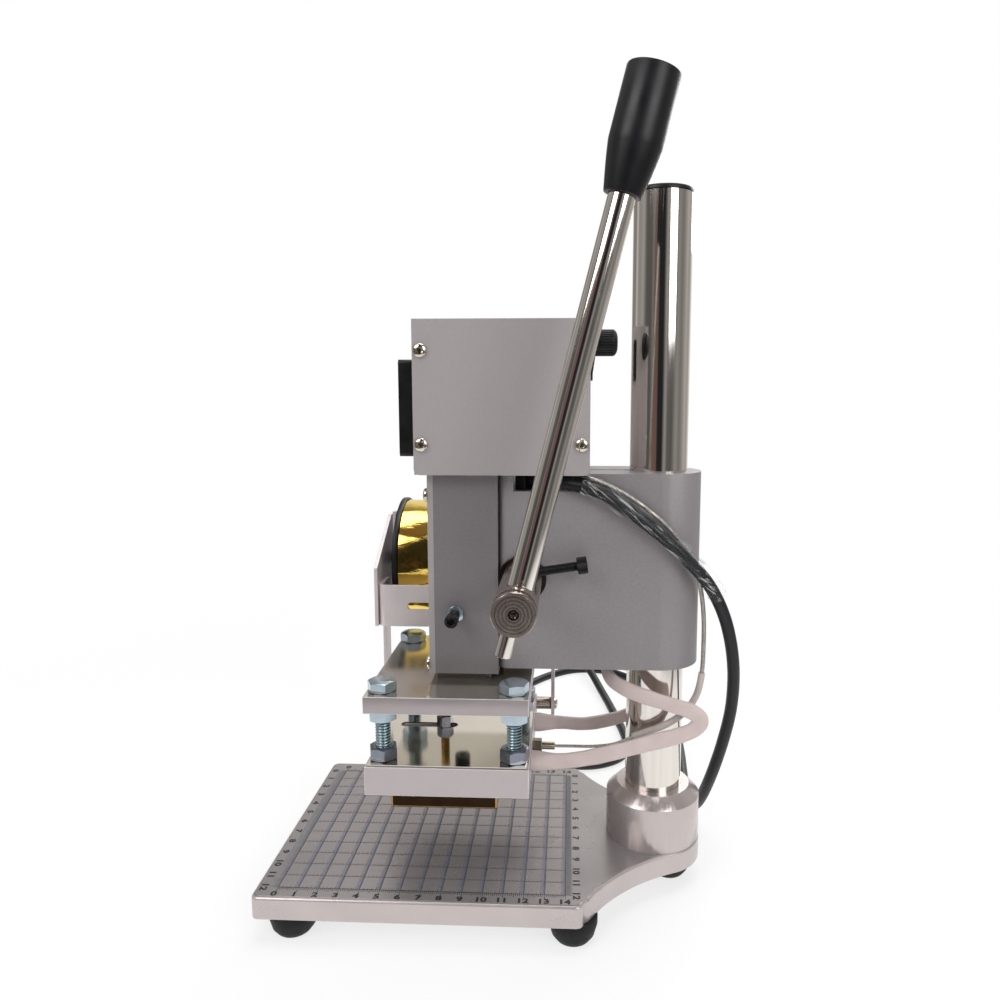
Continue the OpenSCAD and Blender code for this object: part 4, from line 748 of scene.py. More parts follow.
LIT_POINT = (MID_X, 0.0, 0.15)
soft_lamp("key_lamp", (0.9, -0.8, 1.1), (0.8, 0.8), 8)
soft_lamp("side_lamp", (1.1, 0.9, 0.8), (0.7, 0.9), 8)
soft_lamp("top_lamp", (-0.1, 0.1, 1.4), (1.0, 1.0), 11)
soft_lamp("back_lamp", (-1.0, 0.6, 0.9), (0.8, 0.8), 6)


# Turned pieces: column tube, its cap, lever rod and grip

def upright(node):
    """A frame on the axis of a node that stands along Z, at its foot."""
    at = centre(node)
    return Matrix.Translation((at.x, at.y, low(node).z))


def column_pieces():
    column_r = (high("column").x - low("column").x) / 2
    column_h = high("column").z - low("column").z
    edge = 0.4 * MM
    bore_r = column_r - 3 * MM
    tube = Shape().lathe(
        [(bore_r, 0), (column_r, 0), (column_r, column_h - edge), (column_r - edge, column_h),
         (bore_r, column_h), (bore_r, 0.001 * MM)], upright("column"), 128)
    piece("column_tube", tube, "polished_steel", "base", ["column"])
    cap_h = high("column_cap").z - high("column").z
    cap_at = Matrix.Translation((COLUMN_AT.x, COLUMN_AT.y, high("column").z))
    cap = Shape().lathe(
        [(0.01 * MM, -6 * MM), (bore_r - 0.1 * MM, -6 * MM), (bore_r - 0.1 * MM, 0), (column_r, 0),
         (column_r, cap_h * 0.55), (column_r - 0.5 * MM, cap_h * 0.92), (column_r - 1.4 * MM, cap_h),
         (column_r - 3.4 * MM, cap_h), (column_r - 3.8 * MM, cap_h - 0.3 * MM),
         (0.01 * MM, cap_h - 0.3 * MM)], cap_at, 96)
    piece("column_plug", cap, "black_plastic", "base", ["column_cap"])


column_pieces()

LEVER_LEAN = math.radians(14.3)
LEVER_PLACE = (Matrix.Translation((centre("lever_rod").x, SHAFT_AT.y, SHAFT_AT.z))
               @ Matrix.Rotation(-LEVER_LEAN, 4, "X"))
ROD_R = 6 * MM
ROD_TAIL_R = 3.75 * MM
ROD_SEAT = 4 * MM
ROD_BELOW = 25 * MM
ROD_ABOVE = 181 * MM
ROD_IN_GRIP = 39 * MM
GRIP_LEN = 51 * MM
GRIP_TAPER = 21 * MM
GRIP_R0 = 8.25 * MM
GRIP_R1 = 11.625 * MM
TINY = 0.01 * MM


def lever_pieces():
    edge = 0.5 * MM
    rod = Shape().lathe(
        [(TINY, -ROD_BELOW), (ROD_TAIL_R - edge, -ROD_BELOW), (ROD_TAIL_R, -ROD_BELOW + edge),
         (ROD_TAIL_R, -ROD_SEAT), (ROD_R, -ROD_SEAT), (ROD_R, ROD_ABOVE + ROD_IN_GRIP),
         (TINY, ROD_ABOVE + ROD_IN_GRIP)], LEVER_PLACE, 72)
    piece("lever_bar", rod, "polished_steel", "lever", ["lever_rod"])
    bore = ROD_R + 0.1 * MM
    lip = 0.7 * MM
    profile = [
        (bore, GRIP_TAPER), (bore, 0), (GRIP_R0 - lip, 0), (GRIP_R0 - 0.2 * lip, 0.3 * lip), (GRIP_R0, lip)]
    steps = 12
    for k in range(1, steps + 1):
        share = k / steps
        swell = 0.75 * share + 0.25 * math.sin(math.pi / 2 * share)
        profile.append((GRIP_R0 + (GRIP_R1 - GRIP_R0) * swell, lip + (GRIP_TAPER - lip) * share))
    profile += [
        (GRIP_R1, GRIP_TAPER + 2 * MM), (GRIP_R1, GRIP_LEN - lip),
        (GRIP_R1 - 0.3 * lip, GRIP_LEN - 0.2 * lip), (GRIP_R1 - lip, GRIP_LEN), (TINY, GRIP_LEN)]
    grip_place = LEVER_PLACE @ Matrix.Translation((0, 0, ROD_ABOVE))
    grip = Shape().lathe(profile, grip_place, 96)
    piece("lever_handle", grip, "grip_plastic", "lever", ["lever_grip"])


lever_pieces()


# Hexagon bolts and nuts of the plates, with threads

BOLT_AF = 13 * MM
BOLT_R = 4 * MM


def plate_fasteners():
    bolts = Shape()
    rods = Shape()
    nuts = Shape()
    plate_lo, plate_hi = low("upper_plate"), high("upper_plate")
    sheet_top = high("reflector_sheet").z
    head_h = high("plate_bolts").z - plate_hi.z
    nut_h = 6.4 * MM
    turn = random.Random(4)
    bolts_lo, bolts_hi = low("plate_bolts"), high("plate_bolts")
    corner = 7.52 * MM
    reach_y = corner * math.cos(math.pi / 6)

    def place_at(x, y):
        return Matrix.Translation((x, y, 0)) @ Matrix.Rotation(turn.uniform(0, math.pi / 3), 4, "Z")

    for x in (bolts_lo.x + corner, bolts_hi.x - corner):
        for y in (bolts_lo.y + reach_y, bolts_hi.y - reach_y):
            place = place_at(x, y)
            head = hex_rings(BOLT_AF, 0.05 * MM, plate_hi.z, plate_hi.z + head_h)
            bolts.rings(head, place, closed=False)
            rod = thread_rings(BOLT_R - 0.05 * MM, BOLT_PITCH, sheet_top - 9 * MM, plate_hi.z, 0.9 * MM)
            rods.rings(rod, place)
            for bottom in (plate_lo.z - nut_h, sheet_top):
                nut = hex_rings(BOLT_AF, BOLT_R + 0.02 * MM, bottom, bottom + nut_h)
                nuts.rings(nut, place_at(x, y), closed=False)
    piece("plate_bolt_heads", bolts, "zinc_blue", "press_ram", ["plate_bolts"], 30)
    # The threads carry painted shade in their grooves and a painted highlight on their crests.
    piece("plate_bolt_threads", rods, "zinc_thread", "press_ram", ["plate_bolts"], 60)
    hex_nuts = piece("plate_hex_nuts", nuts, ["zinc_blue", "zinc_dark"], "press_ram",
                     ["plate_nuts"], 30)
    lower = [face.index for face in hex_nuts.data.polygons if face.center.z < (plate_lo.z + sheet_top) / 2]
    second_finish(hex_nuts, lower)


plate_fasteners()


def slot_screw_piece():
    at = centre("slot_screw")
    sheet_top = high("reflector_sheet").z
    place = Matrix.Translation((at.x, at.y, 0))
    nut_across = 7.9 * MM
    nut_h = 6 * MM
    rod_r = 2.45 * MM
    screw = Shape()
    screw.rings(thread_rings(rod_r, 0.8 * MM, low("slot_screw").z, high("slot_screw").z, 0.35 * MM), place)
    brass_faces = len(screw.faces)
    nut = hex_rings(nut_across, rod_r + 0.05 * MM, sheet_top, sheet_top + nut_h)
    screw.rings(nut, place @ Matrix.Rotation(0.3, 4, "Z"), closed=False)
    slot_screw = piece("slot_threaded_rod", screw, ["brass", "zinc_dark"], "press_ram",
                       ["slot_screw"], 30)
    second_finish(slot_screw, range(brass_faces, len(screw.faces)))


slot_screw_piece()


# Cross recess screws of the covers and the foil holder

def joined(parts, name):
    """One mesh from several objects, which are removed."""
    merged = bmesh.new()
    for obj in parts:
        merged.from_mesh(obj.data)
        bpy.data.objects.remove(obj)
    return mesh_of(merged, name)


def bare(name, shape):
    """An object outside the scene's pieces, for cutting and joining."""
    mesh = bpy.data.meshes.new(name)
    mesh.from_pydata([tuple(v) for v in shape.verts], [], shape.faces)
    fix = bmesh.new()
    fix.from_mesh(mesh)
    bmesh.ops.remove_doubles(fix, verts=fix.verts, dist=0.0005 * MM)
    bmesh.ops.recalc_face_normals(fix, faces=fix.faces)
    fix.to_mesh(mesh)
    fix.free()
    obj = linked(name, mesh)
    return obj


def cut(obj, cutter):
    """obj without the cutter, which is removed."""
    knife = obj.modifiers.new("cut", "BOOLEAN")
    knife.operation = "DIFFERENCE"
    knife.solver = "EXACT"
    knife.object = cutter
    mesh = evaluated_mesh(obj)
    obj.modifiers.clear()
    obj.data = mesh
    bpy.data.objects.remove(cutter)
    return obj


def cross_head(radius, height):
    """Domed screw head about Z on z = 0, with a cross recess, as a mesh."""
    dome = [(radius * 0.5, -0.2 * MM), (radius, 0), (radius, height * 0.35)]
    for k in range(1, 8):
        angle = math.pi / 2 * k / 7
        dome.append((max(0.01 * MM, radius * math.cos(angle)), height * (0.35 + 0.65 * math.sin(angle))))
    head = bare("head", Shape().lathe(dome, steps=48))
    blade_w = radius * 0.17
    blade_l = radius * 0.62
    deep = height * 0.35
    for spin in (0, math.pi / 2):
        rings = []
        for taper, z in ((0.55, deep), (1.15, height * 1.3)):
            half_l = blade_l * taper
            half_w = blade_w * taper
            rings.append([
                (-half_l, -half_w, z), (half_l, -half_w, z), (half_l, half_w, z), (-half_l, half_w, z)])
        blade = Shape().rings(rings, Matrix.Rotation(spin + 0.4, 4, "Z"))
        head = cut(head, bare("recess", blade))
    return head


def screw_heads(name, places, seed, radius, height, node):
    """Copies of one cross recess head at several frames, each turned at random, joined into one piece."""
    turn = random.Random(seed)
    pattern = cross_head(radius, height)
    parts = []
    for place in places:
        copy = pattern.data.copy()
        copy.transform(place @ Matrix.Rotation(turn.uniform(0, math.pi / 2), 4, "Z"))
        parts.append(bpy.data.objects.new(name, copy))
    mesh = joined(parts, name)
    bpy.data.objects.remove(pattern)
    dressed_mesh(name, mesh, "chrome_screw", "head", [node], 30)


def cover_screw_places():
    places = []
    box_lo, box_hi = low("box_cover"), high("box_cover")
    box_inset_y, box_inset_z = 4 * MM, 15 * MM
    for y in (box_lo.y + box_inset_y, box_hi.y - box_inset_y):
        for z in (box_lo.z + box_inset_z, box_hi.z - box_inset_z):
            places.append(facing((box_hi.x, y, z), (1, 0, 0)))
    cover_lo, cover_hi = low("front_cover"), high("front_cover")
    cover_inset_x, cover_rise, cover_drop = 2 * MM, 5 * MM, 11 * MM
    for x in (cover_lo.x + cover_inset_x, cover_hi.x - cover_inset_x):
        for z in (cover_lo.z + cover_rise, cover_hi.z - cover_drop):
            places.append(facing((x, cover_lo.y, z), (0, -1, 0)))
    return places


def ear_screw_places():
    places = []
    ear_lo, ear_hi = low("foil_ears"), high("foil_ears")
    strip_t = 2.05 * MM
    tab_x = MID_X - 36 * MM
    guide = centre("guide_bar")
    bracket_lo = low("foil_bracket")
    tab_rises = (6 * MM, 18 * MM)
    strip_rise = 4 * MM
    for y, out in ((ear_lo.y, -1), (ear_hi.y, 1)):
        for rise in tab_rises:
            places.append(facing((tab_x, y - out * strip_t, bracket_lo.z + rise), (0, out, 0)))
        for z in (bracket_lo.z + strip_rise, guide.z):
            places.append(facing((guide.x, y, z), (0, out, 0)))
    wall_inset = 8 * MM
    wall_at = bracket_lo + Vector((20 * MM, 0, 12 * MM))
    for y in (low("ram_housing").y + wall_inset, high("ram_housing").y - wall_inset):
        places.append(facing((wall_at.x, y, wall_at.z), (-1, 0, 0)))
    return places


screw_heads("cover_screw_heads", cover_screw_places(), 9, 3.5 * MM, 2.3 * MM, "cover_screws")
screw_heads("ear_screw_heads", ear_screw_places(), 12, 3.6 * MM, 2.0 * MM, "ear_screws")


# Brake screw with its nut, and the lever's lock screw

def socket_rings(radius, height, socket_r, deep, steps=48):
    """Rings of a socket head, from its foot round its rim and down into the hexagon socket."""
    edge = 0.35 * MM
    middle = 0.02 * MM

    def hexagon(z):
        return [polar(hex_reach(socket_r, angle), angle) + (z,) for angle in angles(steps)]

    outside = [(middle, 0), (radius, 0), (radius, height - edge), (radius - edge, height),
               (socket_r * 1.22, height)]
    rings = [circle(r, z, steps) for r, z in outside]
    rings += [hexagon(height - edge * 0.6), hexagon(height - deep)]
    rings.append(circle(middle, height - deep - 0.5 * MM, steps))
    return rings


def brake_pieces():
    at = centre("brake_nut")
    wall_x = low("brake_nut").x
    end_x = high("brake_screw").x
    nut_h = high("brake_nut").x - wall_x
    screw_r = 2.45 * MM
    head_h = 5 * MM
    head_r = 3.35 * MM
    place = facing((wall_x, at.y, at.z), (1, 0, 0))
    nut = Shape().rings(hex_rings(8.1 * MM, screw_r + 0.07 * MM, 0, nut_h), place, False)
    piece("brake_lock_nut", nut, "zinc_blue", "head", ["brake_nut"], 30)
    screw = Shape()
    head_at = end_x - wall_x - head_h
    screw.rings(thread_rings(screw_r, 0.8 * MM, -3 * MM, head_at, 0.4 * MM), place)
    head = socket_rings(head_r, head_h, 1.9 * MM, 3 * MM)
    screw.rings(head, place @ Matrix.Translation((0, 0, head_at)), False)
    piece("brake_socket_screw", screw, "black_oxide", "head", ["brake_screw"], 30)


brake_pieces()


def lock_screw_pieces():
    lock_x = MID_X + 30 * MM
    lock_rise = 4 * MM
    lock_tip = 33 * MM
    head_h = 5 * MM
    head_r = 4.25 * MM
    place = (Matrix.Translation((lock_x, SHAFT_AT.y, SHAFT_AT.z + lock_rise))
             @ Matrix.Rotation(math.radians(9), 4, "X") @ Matrix.Rotation(math.radians(-90), 4, "X"))
    screw = Shape()
    screw.rings(thread_rings(2.45 * MM, 0.8 * MM, 2 * MM, lock_tip - head_h, 0.4 * MM), place)
    head = socket_rings(head_r, head_h, 2 * MM, 2.8 * MM, 96)
    knurl = 0.035
    for i in (1, 2):
        rim = []
        for k, (x, y, z) in enumerate(head[i]):
            kept = 1 - knurl * (k % 2)
            rim.append((x * kept, y * kept, z))
        head[i] = rim
    screw.rings(head, place @ Matrix.Translation((0, 0, lock_tip - head_h)), False)
    black_faces = len(screw.faces)
    set_place = facing((high("pinion_shaft").x - 2.6 * MM, SHAFT_AT.y, SHAFT_AT.z), (1, 0, 0))
    screw.rings(socket_rings(2.45 * MM, 1.8 * MM, 1.3 * MM, 1.5 * MM), set_place, False)
    screws = piece("lever_lock_screws", screw, ["black_oxide", "dark_steel"], "lever",
                   ["lever_screws"], 30)
    second_finish(screws, range(black_faces, len(screw.faces)))


lock_screw_pieces()


# Base plate with a rounded outline, and the printed film on its table

FILM_T = 0.15 * MM
FILM_INSET = 1.5 * MM
FILM_CORNER_R = 3 * MM
TABLE_REAR_Y = 48 * MM


def node_copy(node):
    """The node's mesh for a piece that replaces it, with its doubled points merged."""
    copy = bmesh.new()
    copy.from_mesh(NODES[node].data)
    bmesh.ops.remove_doubles(copy, verts=copy.verts, dist=0.003 * MM)
    return copy


def whole_faces(copy):
    """Makes one face of each flat side."""
    bmesh.ops.dissolve_limit(copy, angle_limit=math.radians(0.4), verts=copy.verts, edges=copy.edges)


def sharp_edges(copy):
    return [edge for edge in copy.edges
            if len(edge.link_faces) == 2 and edge.calc_face_angle() > math.radians(38)]


def shade_level_faces_flat(obj, finish_number):
    for polygon in obj.data.polygons:
        if polygon.material_index == finish_number:
            polygon.use_smooth = False


def base_slab():
    """The base plate without its film, with its upper outline rounded."""
    table_z = TABLE_Z - FILM_T
    slab = node_copy("base_plate")
    for vert in slab.verts:
        vert.co.z = min(vert.co.z, table_z)
    bmesh.ops.remove_doubles(slab, verts=slab.verts, dist=0.003 * MM)
    whole_faces(slab)
    column_foot = Vector((COLUMN_AT.x, COLUMN_AT.y, table_z))
    near_column = 14 * MM
    outline = []
    for edge in sharp_edges(slab):
        on_top = all(abs(vert.co.z - table_z) < 0.01 * MM for vert in edge.verts)
        outside = all((vert.co - column_foot).length > near_column for vert in edge.verts)
        if on_top and outside:
            outline.append(edge)
    bmesh.ops.bevel(slab, geom=outline, offset=1.5 * MM, segments=4, profile=0.5, affect="EDGES",
                    clamp_overlap=False)
    slab.normal_update()
    for face in slab.faces:
        face.material_index = 1 if face.normal.z > 0.98 else 0
    plate = dressed_mesh("base_slab", mesh_of(slab, "base_slab"), ["table_plate", "table_film"], "base",
                         ["base_plate"])
    shade_level_faces_flat(plate, 1)


def upper_plate_piece():
    """The upper plate with dull sides, a painted highlight on its rounded edges, and a polished top and
    underside.
    """
    plate = node_copy("upper_plate")
    whole_faces(plate)
    for face in plate.faces:
        face.material_index = 2 if abs(face.normal.z) > 0.9 else 0
    bmesh.ops.bevel(plate, geom=sharp_edges(plate), offset=0.8 * MM, segments=2, profile=0.5, affect="EDGES",
                    clamp_overlap=True, material=1)
    polished = dressed_mesh("upper_plate_polished", mesh_of(plate, "upper_plate_polished"),
                            ["dull_aluminium", "bright_edge", "satin_top"], "press_ram",
                            ["upper_plate"])
    shade_level_faces_flat(polished, 2)


def rounded_outline(half_x, half_y, radius, steps=6):
    """Points round a rectangle with round corners, about the origin."""
    points = []
    for corner, (sx, sy) in enumerate(((1, 1), (-1, 1), (-1, -1), (1, -1))):
        for k in range(steps + 1):
            angle = math.pi / 2 * (corner + k / steps)
            points.append((sx * (half_x - radius) + radius * math.cos(angle),
                           sy * (half_y - radius) + radius * math.sin(angle)))
    return points


def grid_film():
    front_y = low("base_plate").y
    half_x = (high("base_plate").x - low("base_plate").x) / 2 - FILM_INSET
    half_y = (TABLE_REAR_Y - front_y) / 2 - FILM_INSET
    place = Matrix.Translation((MID_X, (TABLE_REAR_Y + front_y) / 2, 0))
    edge = 0.06 * MM
    outer = rounded_outline(half_x, half_y, FILM_CORNER_R)
    inner = rounded_outline(half_x - edge, half_y - edge, FILM_CORNER_R - edge)
    film = Shape().rings(
        [[(x, y, TABLE_Z - FILM_T) for x, y in outer], [(x, y, TABLE_Z - edge) for x, y in outer],
         [(x, y, TABLE_Z) for x, y in inner]], place)
    piece("grid_film", film, "table_film", "base")


base_slab()
upper_plate_piece()
grid_film()


# Printed grid on the work table: centimetre lines, millimetre ticks and numbers

GRID_STEP = 10 * MM
GRID_CELLS_X = 12
GRID_CELLS_Y = 14
GRID_NEAR_X = MID_X + 61.4 * MM
GRID_FAR_X = GRID_NEAR_X - GRID_CELLS_X * GRID_STEP
GRID_LEFT_Y = -100.7 * MM
GRID_RIGHT_Y = GRID_LEFT_Y + GRID_CELLS_Y * GRID_STEP
LEFT_BAND_W = 4.8 * MM
RIGHT_BAND_W = 3.0 * MM
INK_Z = TABLE_Z + 0.03 * MM
INK_LINE = 0.34 * MM


class Print:
    """Flat ink marks on the table, as rectangles."""

    def __init__(self):
        self.verts = []
        self.faces = []

    def mark(self, x0, y0, x1, y1):
        start = len(self.verts)
        self.verts += [(x0, y0, INK_Z), (x1, y0, INK_Z), (x1, y1, INK_Z), (x0, y1, INK_Z)]
        self.faces.append((start, start + 1, start + 2, start + 3))

    def line_x(self, y, x0, x1, width):
        self.mark(x0, y - width / 2, x1, y + width / 2)

    def line_y(self, x, y0, y1, width):
        self.mark(x - width / 2, y0, x + width / 2, y1)

    def done(self, name, finish):
        return piece(name, self, finish, "base")


def grid_lines():
    blue = Print()
    red = Print()
    black = Print()
    band = Print()
    tick = 1.3 * MM
    double_line = 0.45 * MM
    edge_tick_w, band_tick_w = 0.3 * MM, 0.14 * MM
    for j in range(GRID_CELLS_Y + 1):
        y = GRID_LEFT_Y + j * GRID_STEP
        blue.line_x(y - double_line, GRID_FAR_X, GRID_NEAR_X, INK_LINE)
        black.line_x(y, GRID_FAR_X, GRID_NEAR_X, INK_LINE * 0.8)
    for i in range(GRID_CELLS_X + 1):
        x = GRID_FAR_X + i * GRID_STEP
        red.line_y(x, GRID_LEFT_Y, GRID_RIGHT_Y, INK_LINE * 1.2)
    for j in range(1, GRID_CELLS_Y + 1):
        y = GRID_LEFT_Y + j * GRID_STEP - double_line
        for i in range(GRID_CELLS_X):
            for part in range(1, 10):
                x = GRID_FAR_X + i * GRID_STEP + part * MM
                reach = tick * (1.8 if part == 5 else 1.3)
                blue.line_y(x, y - reach, y, INK_LINE * 0.9)
    for i in range(1, GRID_CELLS_X + 1):
        x = GRID_FAR_X + i * GRID_STEP
        for j in range(GRID_CELLS_Y):
            for part in range(1, 5):
                y = GRID_LEFT_Y + (j + part / 5) * GRID_STEP
                red.line_x(y, x - tick * (0.5 + 0.2 * part), x, INK_LINE * 0.8)
    for side, out in ((GRID_NEAR_X, 1), (GRID_FAR_X, -1)):
        for k in range(GRID_CELLS_Y * 10 + 1):
            y = GRID_LEFT_Y + k * MM
            reach = (3.2 if k % 10 == 0 else 2.4 if k % 5 == 0 else 1.7) * MM
            black.line_x(y, min(side, side + out * reach), max(side, side + out * reach), edge_tick_w)
        black.line_y(side, GRID_LEFT_Y, GRID_RIGHT_Y, INK_LINE)
    for k in range(GRID_CELLS_X * 10 + 1):
        x = GRID_FAR_X + k * MM
        reach = (3.0 if k % 10 == 0 else 2.2) * MM
        black.line_y(x, GRID_LEFT_Y - reach, GRID_LEFT_Y, band_tick_w)
        black.line_y(x, GRID_RIGHT_Y, GRID_RIGHT_Y + reach, band_tick_w)
    band.mark(GRID_FAR_X, GRID_LEFT_Y - LEFT_BAND_W, GRID_NEAR_X, GRID_LEFT_Y)
    band.mark(GRID_FAR_X, GRID_RIGHT_Y, GRID_NEAR_X, GRID_RIGHT_Y + RIGHT_BAND_W)
    lift = 0.01 * MM
    band.verts = [(x, y, z - lift) for x, y, z in band.verts]
    black.verts = [(x, y, z + lift) for x, y, z in black.verts]
    blue.done("grid_blue_lines", "blue_ink")
    red.done("grid_red_lines", "red_ink")
    black.done("grid_black_ticks", "black_ink")
    band.done("grid_side_bands", "grey_ink")


grid_lines()


def text_mesh(words, size, weight=0.0):
    """Flat mesh of words set in Blender's own font, centred on the origin."""
    curve = bpy.data.curves.new("words", "FONT")
    curve.body = words
    curve.size = size
    curve.align_x = "CENTER"
    curve.align_y = "CENTER"
    curve.resolution_u = 3
    curve.offset = weight
    obj = linked("words", curve)
    mesh = evaluated_mesh(obj)
    bpy.data.objects.remove(obj)
    return mesh


def grid_numbers():
    parts = []
    size = 4.6 * MM
    weight = 0.19 * MM
    widen = Matrix.Scale(1.3, 4, (1, 0, 0))
    lift = INK_Z + 0.01 * MM
    facing_viewer = Matrix.Rotation(math.pi / 2, 4, "Z")
    reading_down = Matrix.Identity(4)
    near_out, near_aside, far_out = 5.2 * MM, 0.5 * MM, 5.0 * MM
    left_out, right_out = 7.2 * MM, 5.1 * MM

    def put(number, x, y, turn):
        mesh = text_mesh(str(number), size, weight)
        mesh.transform(Matrix.Translation((x, y, lift)) @ turn @ widen)
        parts.append(bpy.data.objects.new("number", mesh))

    for j in range(GRID_CELLS_Y + 1):
        y = GRID_LEFT_Y + j * GRID_STEP
        put(j, GRID_NEAR_X + near_out, y - near_aside, facing_viewer)
        put(j, GRID_FAR_X - far_out, y, facing_viewer)
    for i in range(GRID_CELLS_X + 1):
        x = GRID_FAR_X + i * GRID_STEP
        put(i, x, GRID_LEFT_Y - left_out, reading_down)
        put(i, x, GRID_RIGHT_Y + right_out, reading_down)
    dressed_mesh("grid_numbers", joined(parts, "grid_numbers"), "black_ink", "base")


grid_numbers()


# Temperature controller: bezel with its window, digits and key signs

dress("controller", "black_plastic", 1.0 * MM)
dress("controller_display", "display_window", 0.0)
for key_node in ("key_left", "key_middle", "key_right"):
    dress(key_node, "key_plastic", 0.6 * MM)

SEGMENTS = {
    "0": "abcdef", "1": "bc", "2": "abged", "3": "abgcd", "4": "fgbc", "5": "afgcd", "6": "afgedc",
    "7": "abc", "8": "abcdefg", "9": "abcfgd"}


def digit_shape(shape, figure, at, height):
    """Seven-segment figure on the front of the window, seen from -Y."""
    width = height * 0.52
    bar = height * 0.1
    nib = bar / 2
    gap = bar * 0.25
    half = height / 2
    places = {
        "a": ((0, height), True), "g": ((0, half), True), "d": ((0, 0), True),
        "f": ((0, half), False), "b": ((width, half), False), "e": ((0, 0), False), "c": ((width, 0), False)}
    for letter in SEGMENTS[figure]:
        (u, v), level = places[letter]
        start = (u if level else v) + gap
        end = (u + width if level else v + half) - gap
        middle = v if level else u
        ring = [(start, middle), (start + nib, middle + nib), (end - nib, middle + nib), (end, middle),
                (end - nib, middle - nib), (start + nib, middle - nib)]
        if not level:
            ring = [(across, along) for along, across in ring]
        slant = 0.1
        front = [(at.x + x + slant * z, at.y, at.z + z) for x, z in ring]
        back = [(x, y + 0.05 * MM, z) for x, y, z in front]
        shape.rings([front, back])


def controller_pieces():
    window_lo, window_hi = low("controller_display"), high("controller_display")
    face_y = window_lo.y - 0.08 * MM
    for name, figures, finish, z, height in (
            ("display_upper_digits", "142", "red_digit", window_hi.z - 9.4 * MM, 7.6 * MM),
            ("display_lower_digits", "150", "green_digit", window_lo.z + 1.8 * MM, 5.6 * MM)):
        shape = Shape()
        pitch = height * 0.82
        start = centre("controller_display").x - pitch * len(figures) / 2 + height * 0.1
        for k, figure in enumerate(figures):
            digit_shape(shape, figure, Vector((start + k * pitch, face_y, z)), height)
        piece(name, shape, finish, "head")
    size = 1.5 * MM
    for node, body, turn in (("key_left", "left_key", -math.pi / 2), ("key_middle", "middle_key", math.pi),
                             ("key_right", "right_key", 0)):
        at = centre(node)
        front_y = low(node).y - 0.04 * MM
        ring = []
        for u, v in ((-1, -0.7), (1, -0.7), (0, 1)):
            ring.append((at.x + size * (u * math.cos(turn) - v * math.sin(turn)), front_y,
                         at.z + size * (u * math.sin(turn) + v * math.cos(turn))))
        shape = Shape().rings([ring, [(x, y + 0.08 * MM, z) for x, y, z in ring]])
        piece(node + "_sign", shape, "white_ink", body)


controller_pieces()


# Fuse cap: a knurled knob with a domed end

def fuse_knob():
    lo, hi = low("fuse_cap"), high("fuse_cap")
    at = (lo + hi) / 2
    radius = (hi.x - lo.x) / 2
    stem_r = 3.45 * MM
    seat = high("fuse_holder").y - lo.y + 0.2 * MM
    length = hi.y - lo.y
    ridges = 30

    def ring(r, y, depth):
        points = []
        for k, angle in enumerate(angles(4 * ridges)):
            reach = r - depth * (1 if k % 4 in (0, 1) else 0)
            points.append(polar(reach, angle) + (y,))
        return points

    groove = 0.45 * MM
    dome = 2.4 * MM
    rings = [ring(TINY, 0, 0), ring(stem_r, 0, 0), ring(stem_r, seat, 0),
             ring(radius - 0.3 * MM, seat, groove), ring(radius, seat + 0.4 * MM, groove),
             ring(radius, length - dome, groove)]
    for k in range(1, 6):
        angle = math.pi / 2 * k / 6
        dome_r = radius * (0.35 + 0.65 * math.cos(angle))
        rings.append(ring(dome_r, length - dome + dome * math.sin(angle), 0))
    rings.append(ring(TINY, length, 0))
    knob = Shape().rings(rings, facing((at.x, lo.y, at.z), (0, 1, 0)), closed=False)
    piece("fuse_knob", knob, "black_plastic", "fuse_knob", ["fuse_cap"], 30)


fuse_knob()


# Foil roll: a winding of gold foil with creases

def foil_winding():
    lo, hi = low("foil_roll"), high("foil_roll")
    at = (lo + hi) / 2
    radius = (hi.z - lo.z) / 2
    core_r = 15.1 * MM
    sunk = 0.35 * MM
    wave_w, slope_share, crease_share = 0.08, 0.3, 0.5
    steps = 160
    rows = 60
    wrinkle = random.Random(21)
    limits = ((4, 22), (-60, 60), (0, 6.28), (0.03, 0.10))
    waves = [[wrinkle.uniform(*limit) for limit in limits] for _ in range(14)]

    def crease(angle, y):
        return sum(depth * math.sin(turns * angle + slope * y / wave_w * slope_share + phase)
                   for turns, slope, phase, depth in waves) * MM * crease_share

    def core(angle, y):
        return core_r

    def outside(angle, y):
        return radius - sunk + crease(angle, y)

    def ring(y, reach):
        points = []
        for angle in angles(steps):
            x, z = polar(reach(angle, y), angle)
            points.append((x, y, z))
        return points

    rings = [ring(lo.y, core)]
    rings += [ring(lo.y + (hi.y - lo.y) * j / rows, outside) for j in range(rows + 1)]
    rings.append(ring(hi.y, core))
    shape = Shape().rings(rings, Matrix.Translation((at.x, 0, at.z)), closed=False)
    piece("foil_winding", shape, "gold_foil", "foil_spool", ["foil_roll"], 60)


foil_winding()


# Heater leads in flat glass sleeves, and the thermocouple lead

LEAD_NEAR = [
    (24, 23.1, 73.7), (24, 36, 73.7), (24.5, 50, 76), (25.5, 66, 80.5), (26, 82, 85.5), (26, 96, 89.5),
    (26, 104, 93), (26, 107.5, 98), (26, 103, 102.5), (25.5, 92, 106), (25, 80, 109.5), (22.5, 71, 112),
    (18, 64.5, 114.2), (12.5, 61, 116.5), (8.7, 59.9, 120.3), (7.5, 59.8, 126.5), (7.5, 59.8, 133.5)]
LEAD_FAR = [
    (-25, 23.1, 73.7), (-25, 36, 73.7), (-25.5, 50, 73), (-27, 66, 75.5), (-27.5, 80, 80.5), (-27, 90, 85.5),
    (-25.8, 96, 91), (-25, 97.2, 97), (-24, 93.5, 102), (-22.5, 85, 106), (-21, 77, 109.5),
    (-18.5, 69.5, 112.5), (-14, 63.7, 114.5), (-10.2, 60.8, 117.3), (-8, 59.9, 120.9),
    (-7.5, 59.8, 126.5), (-7.5, 59.8, 133.5)]
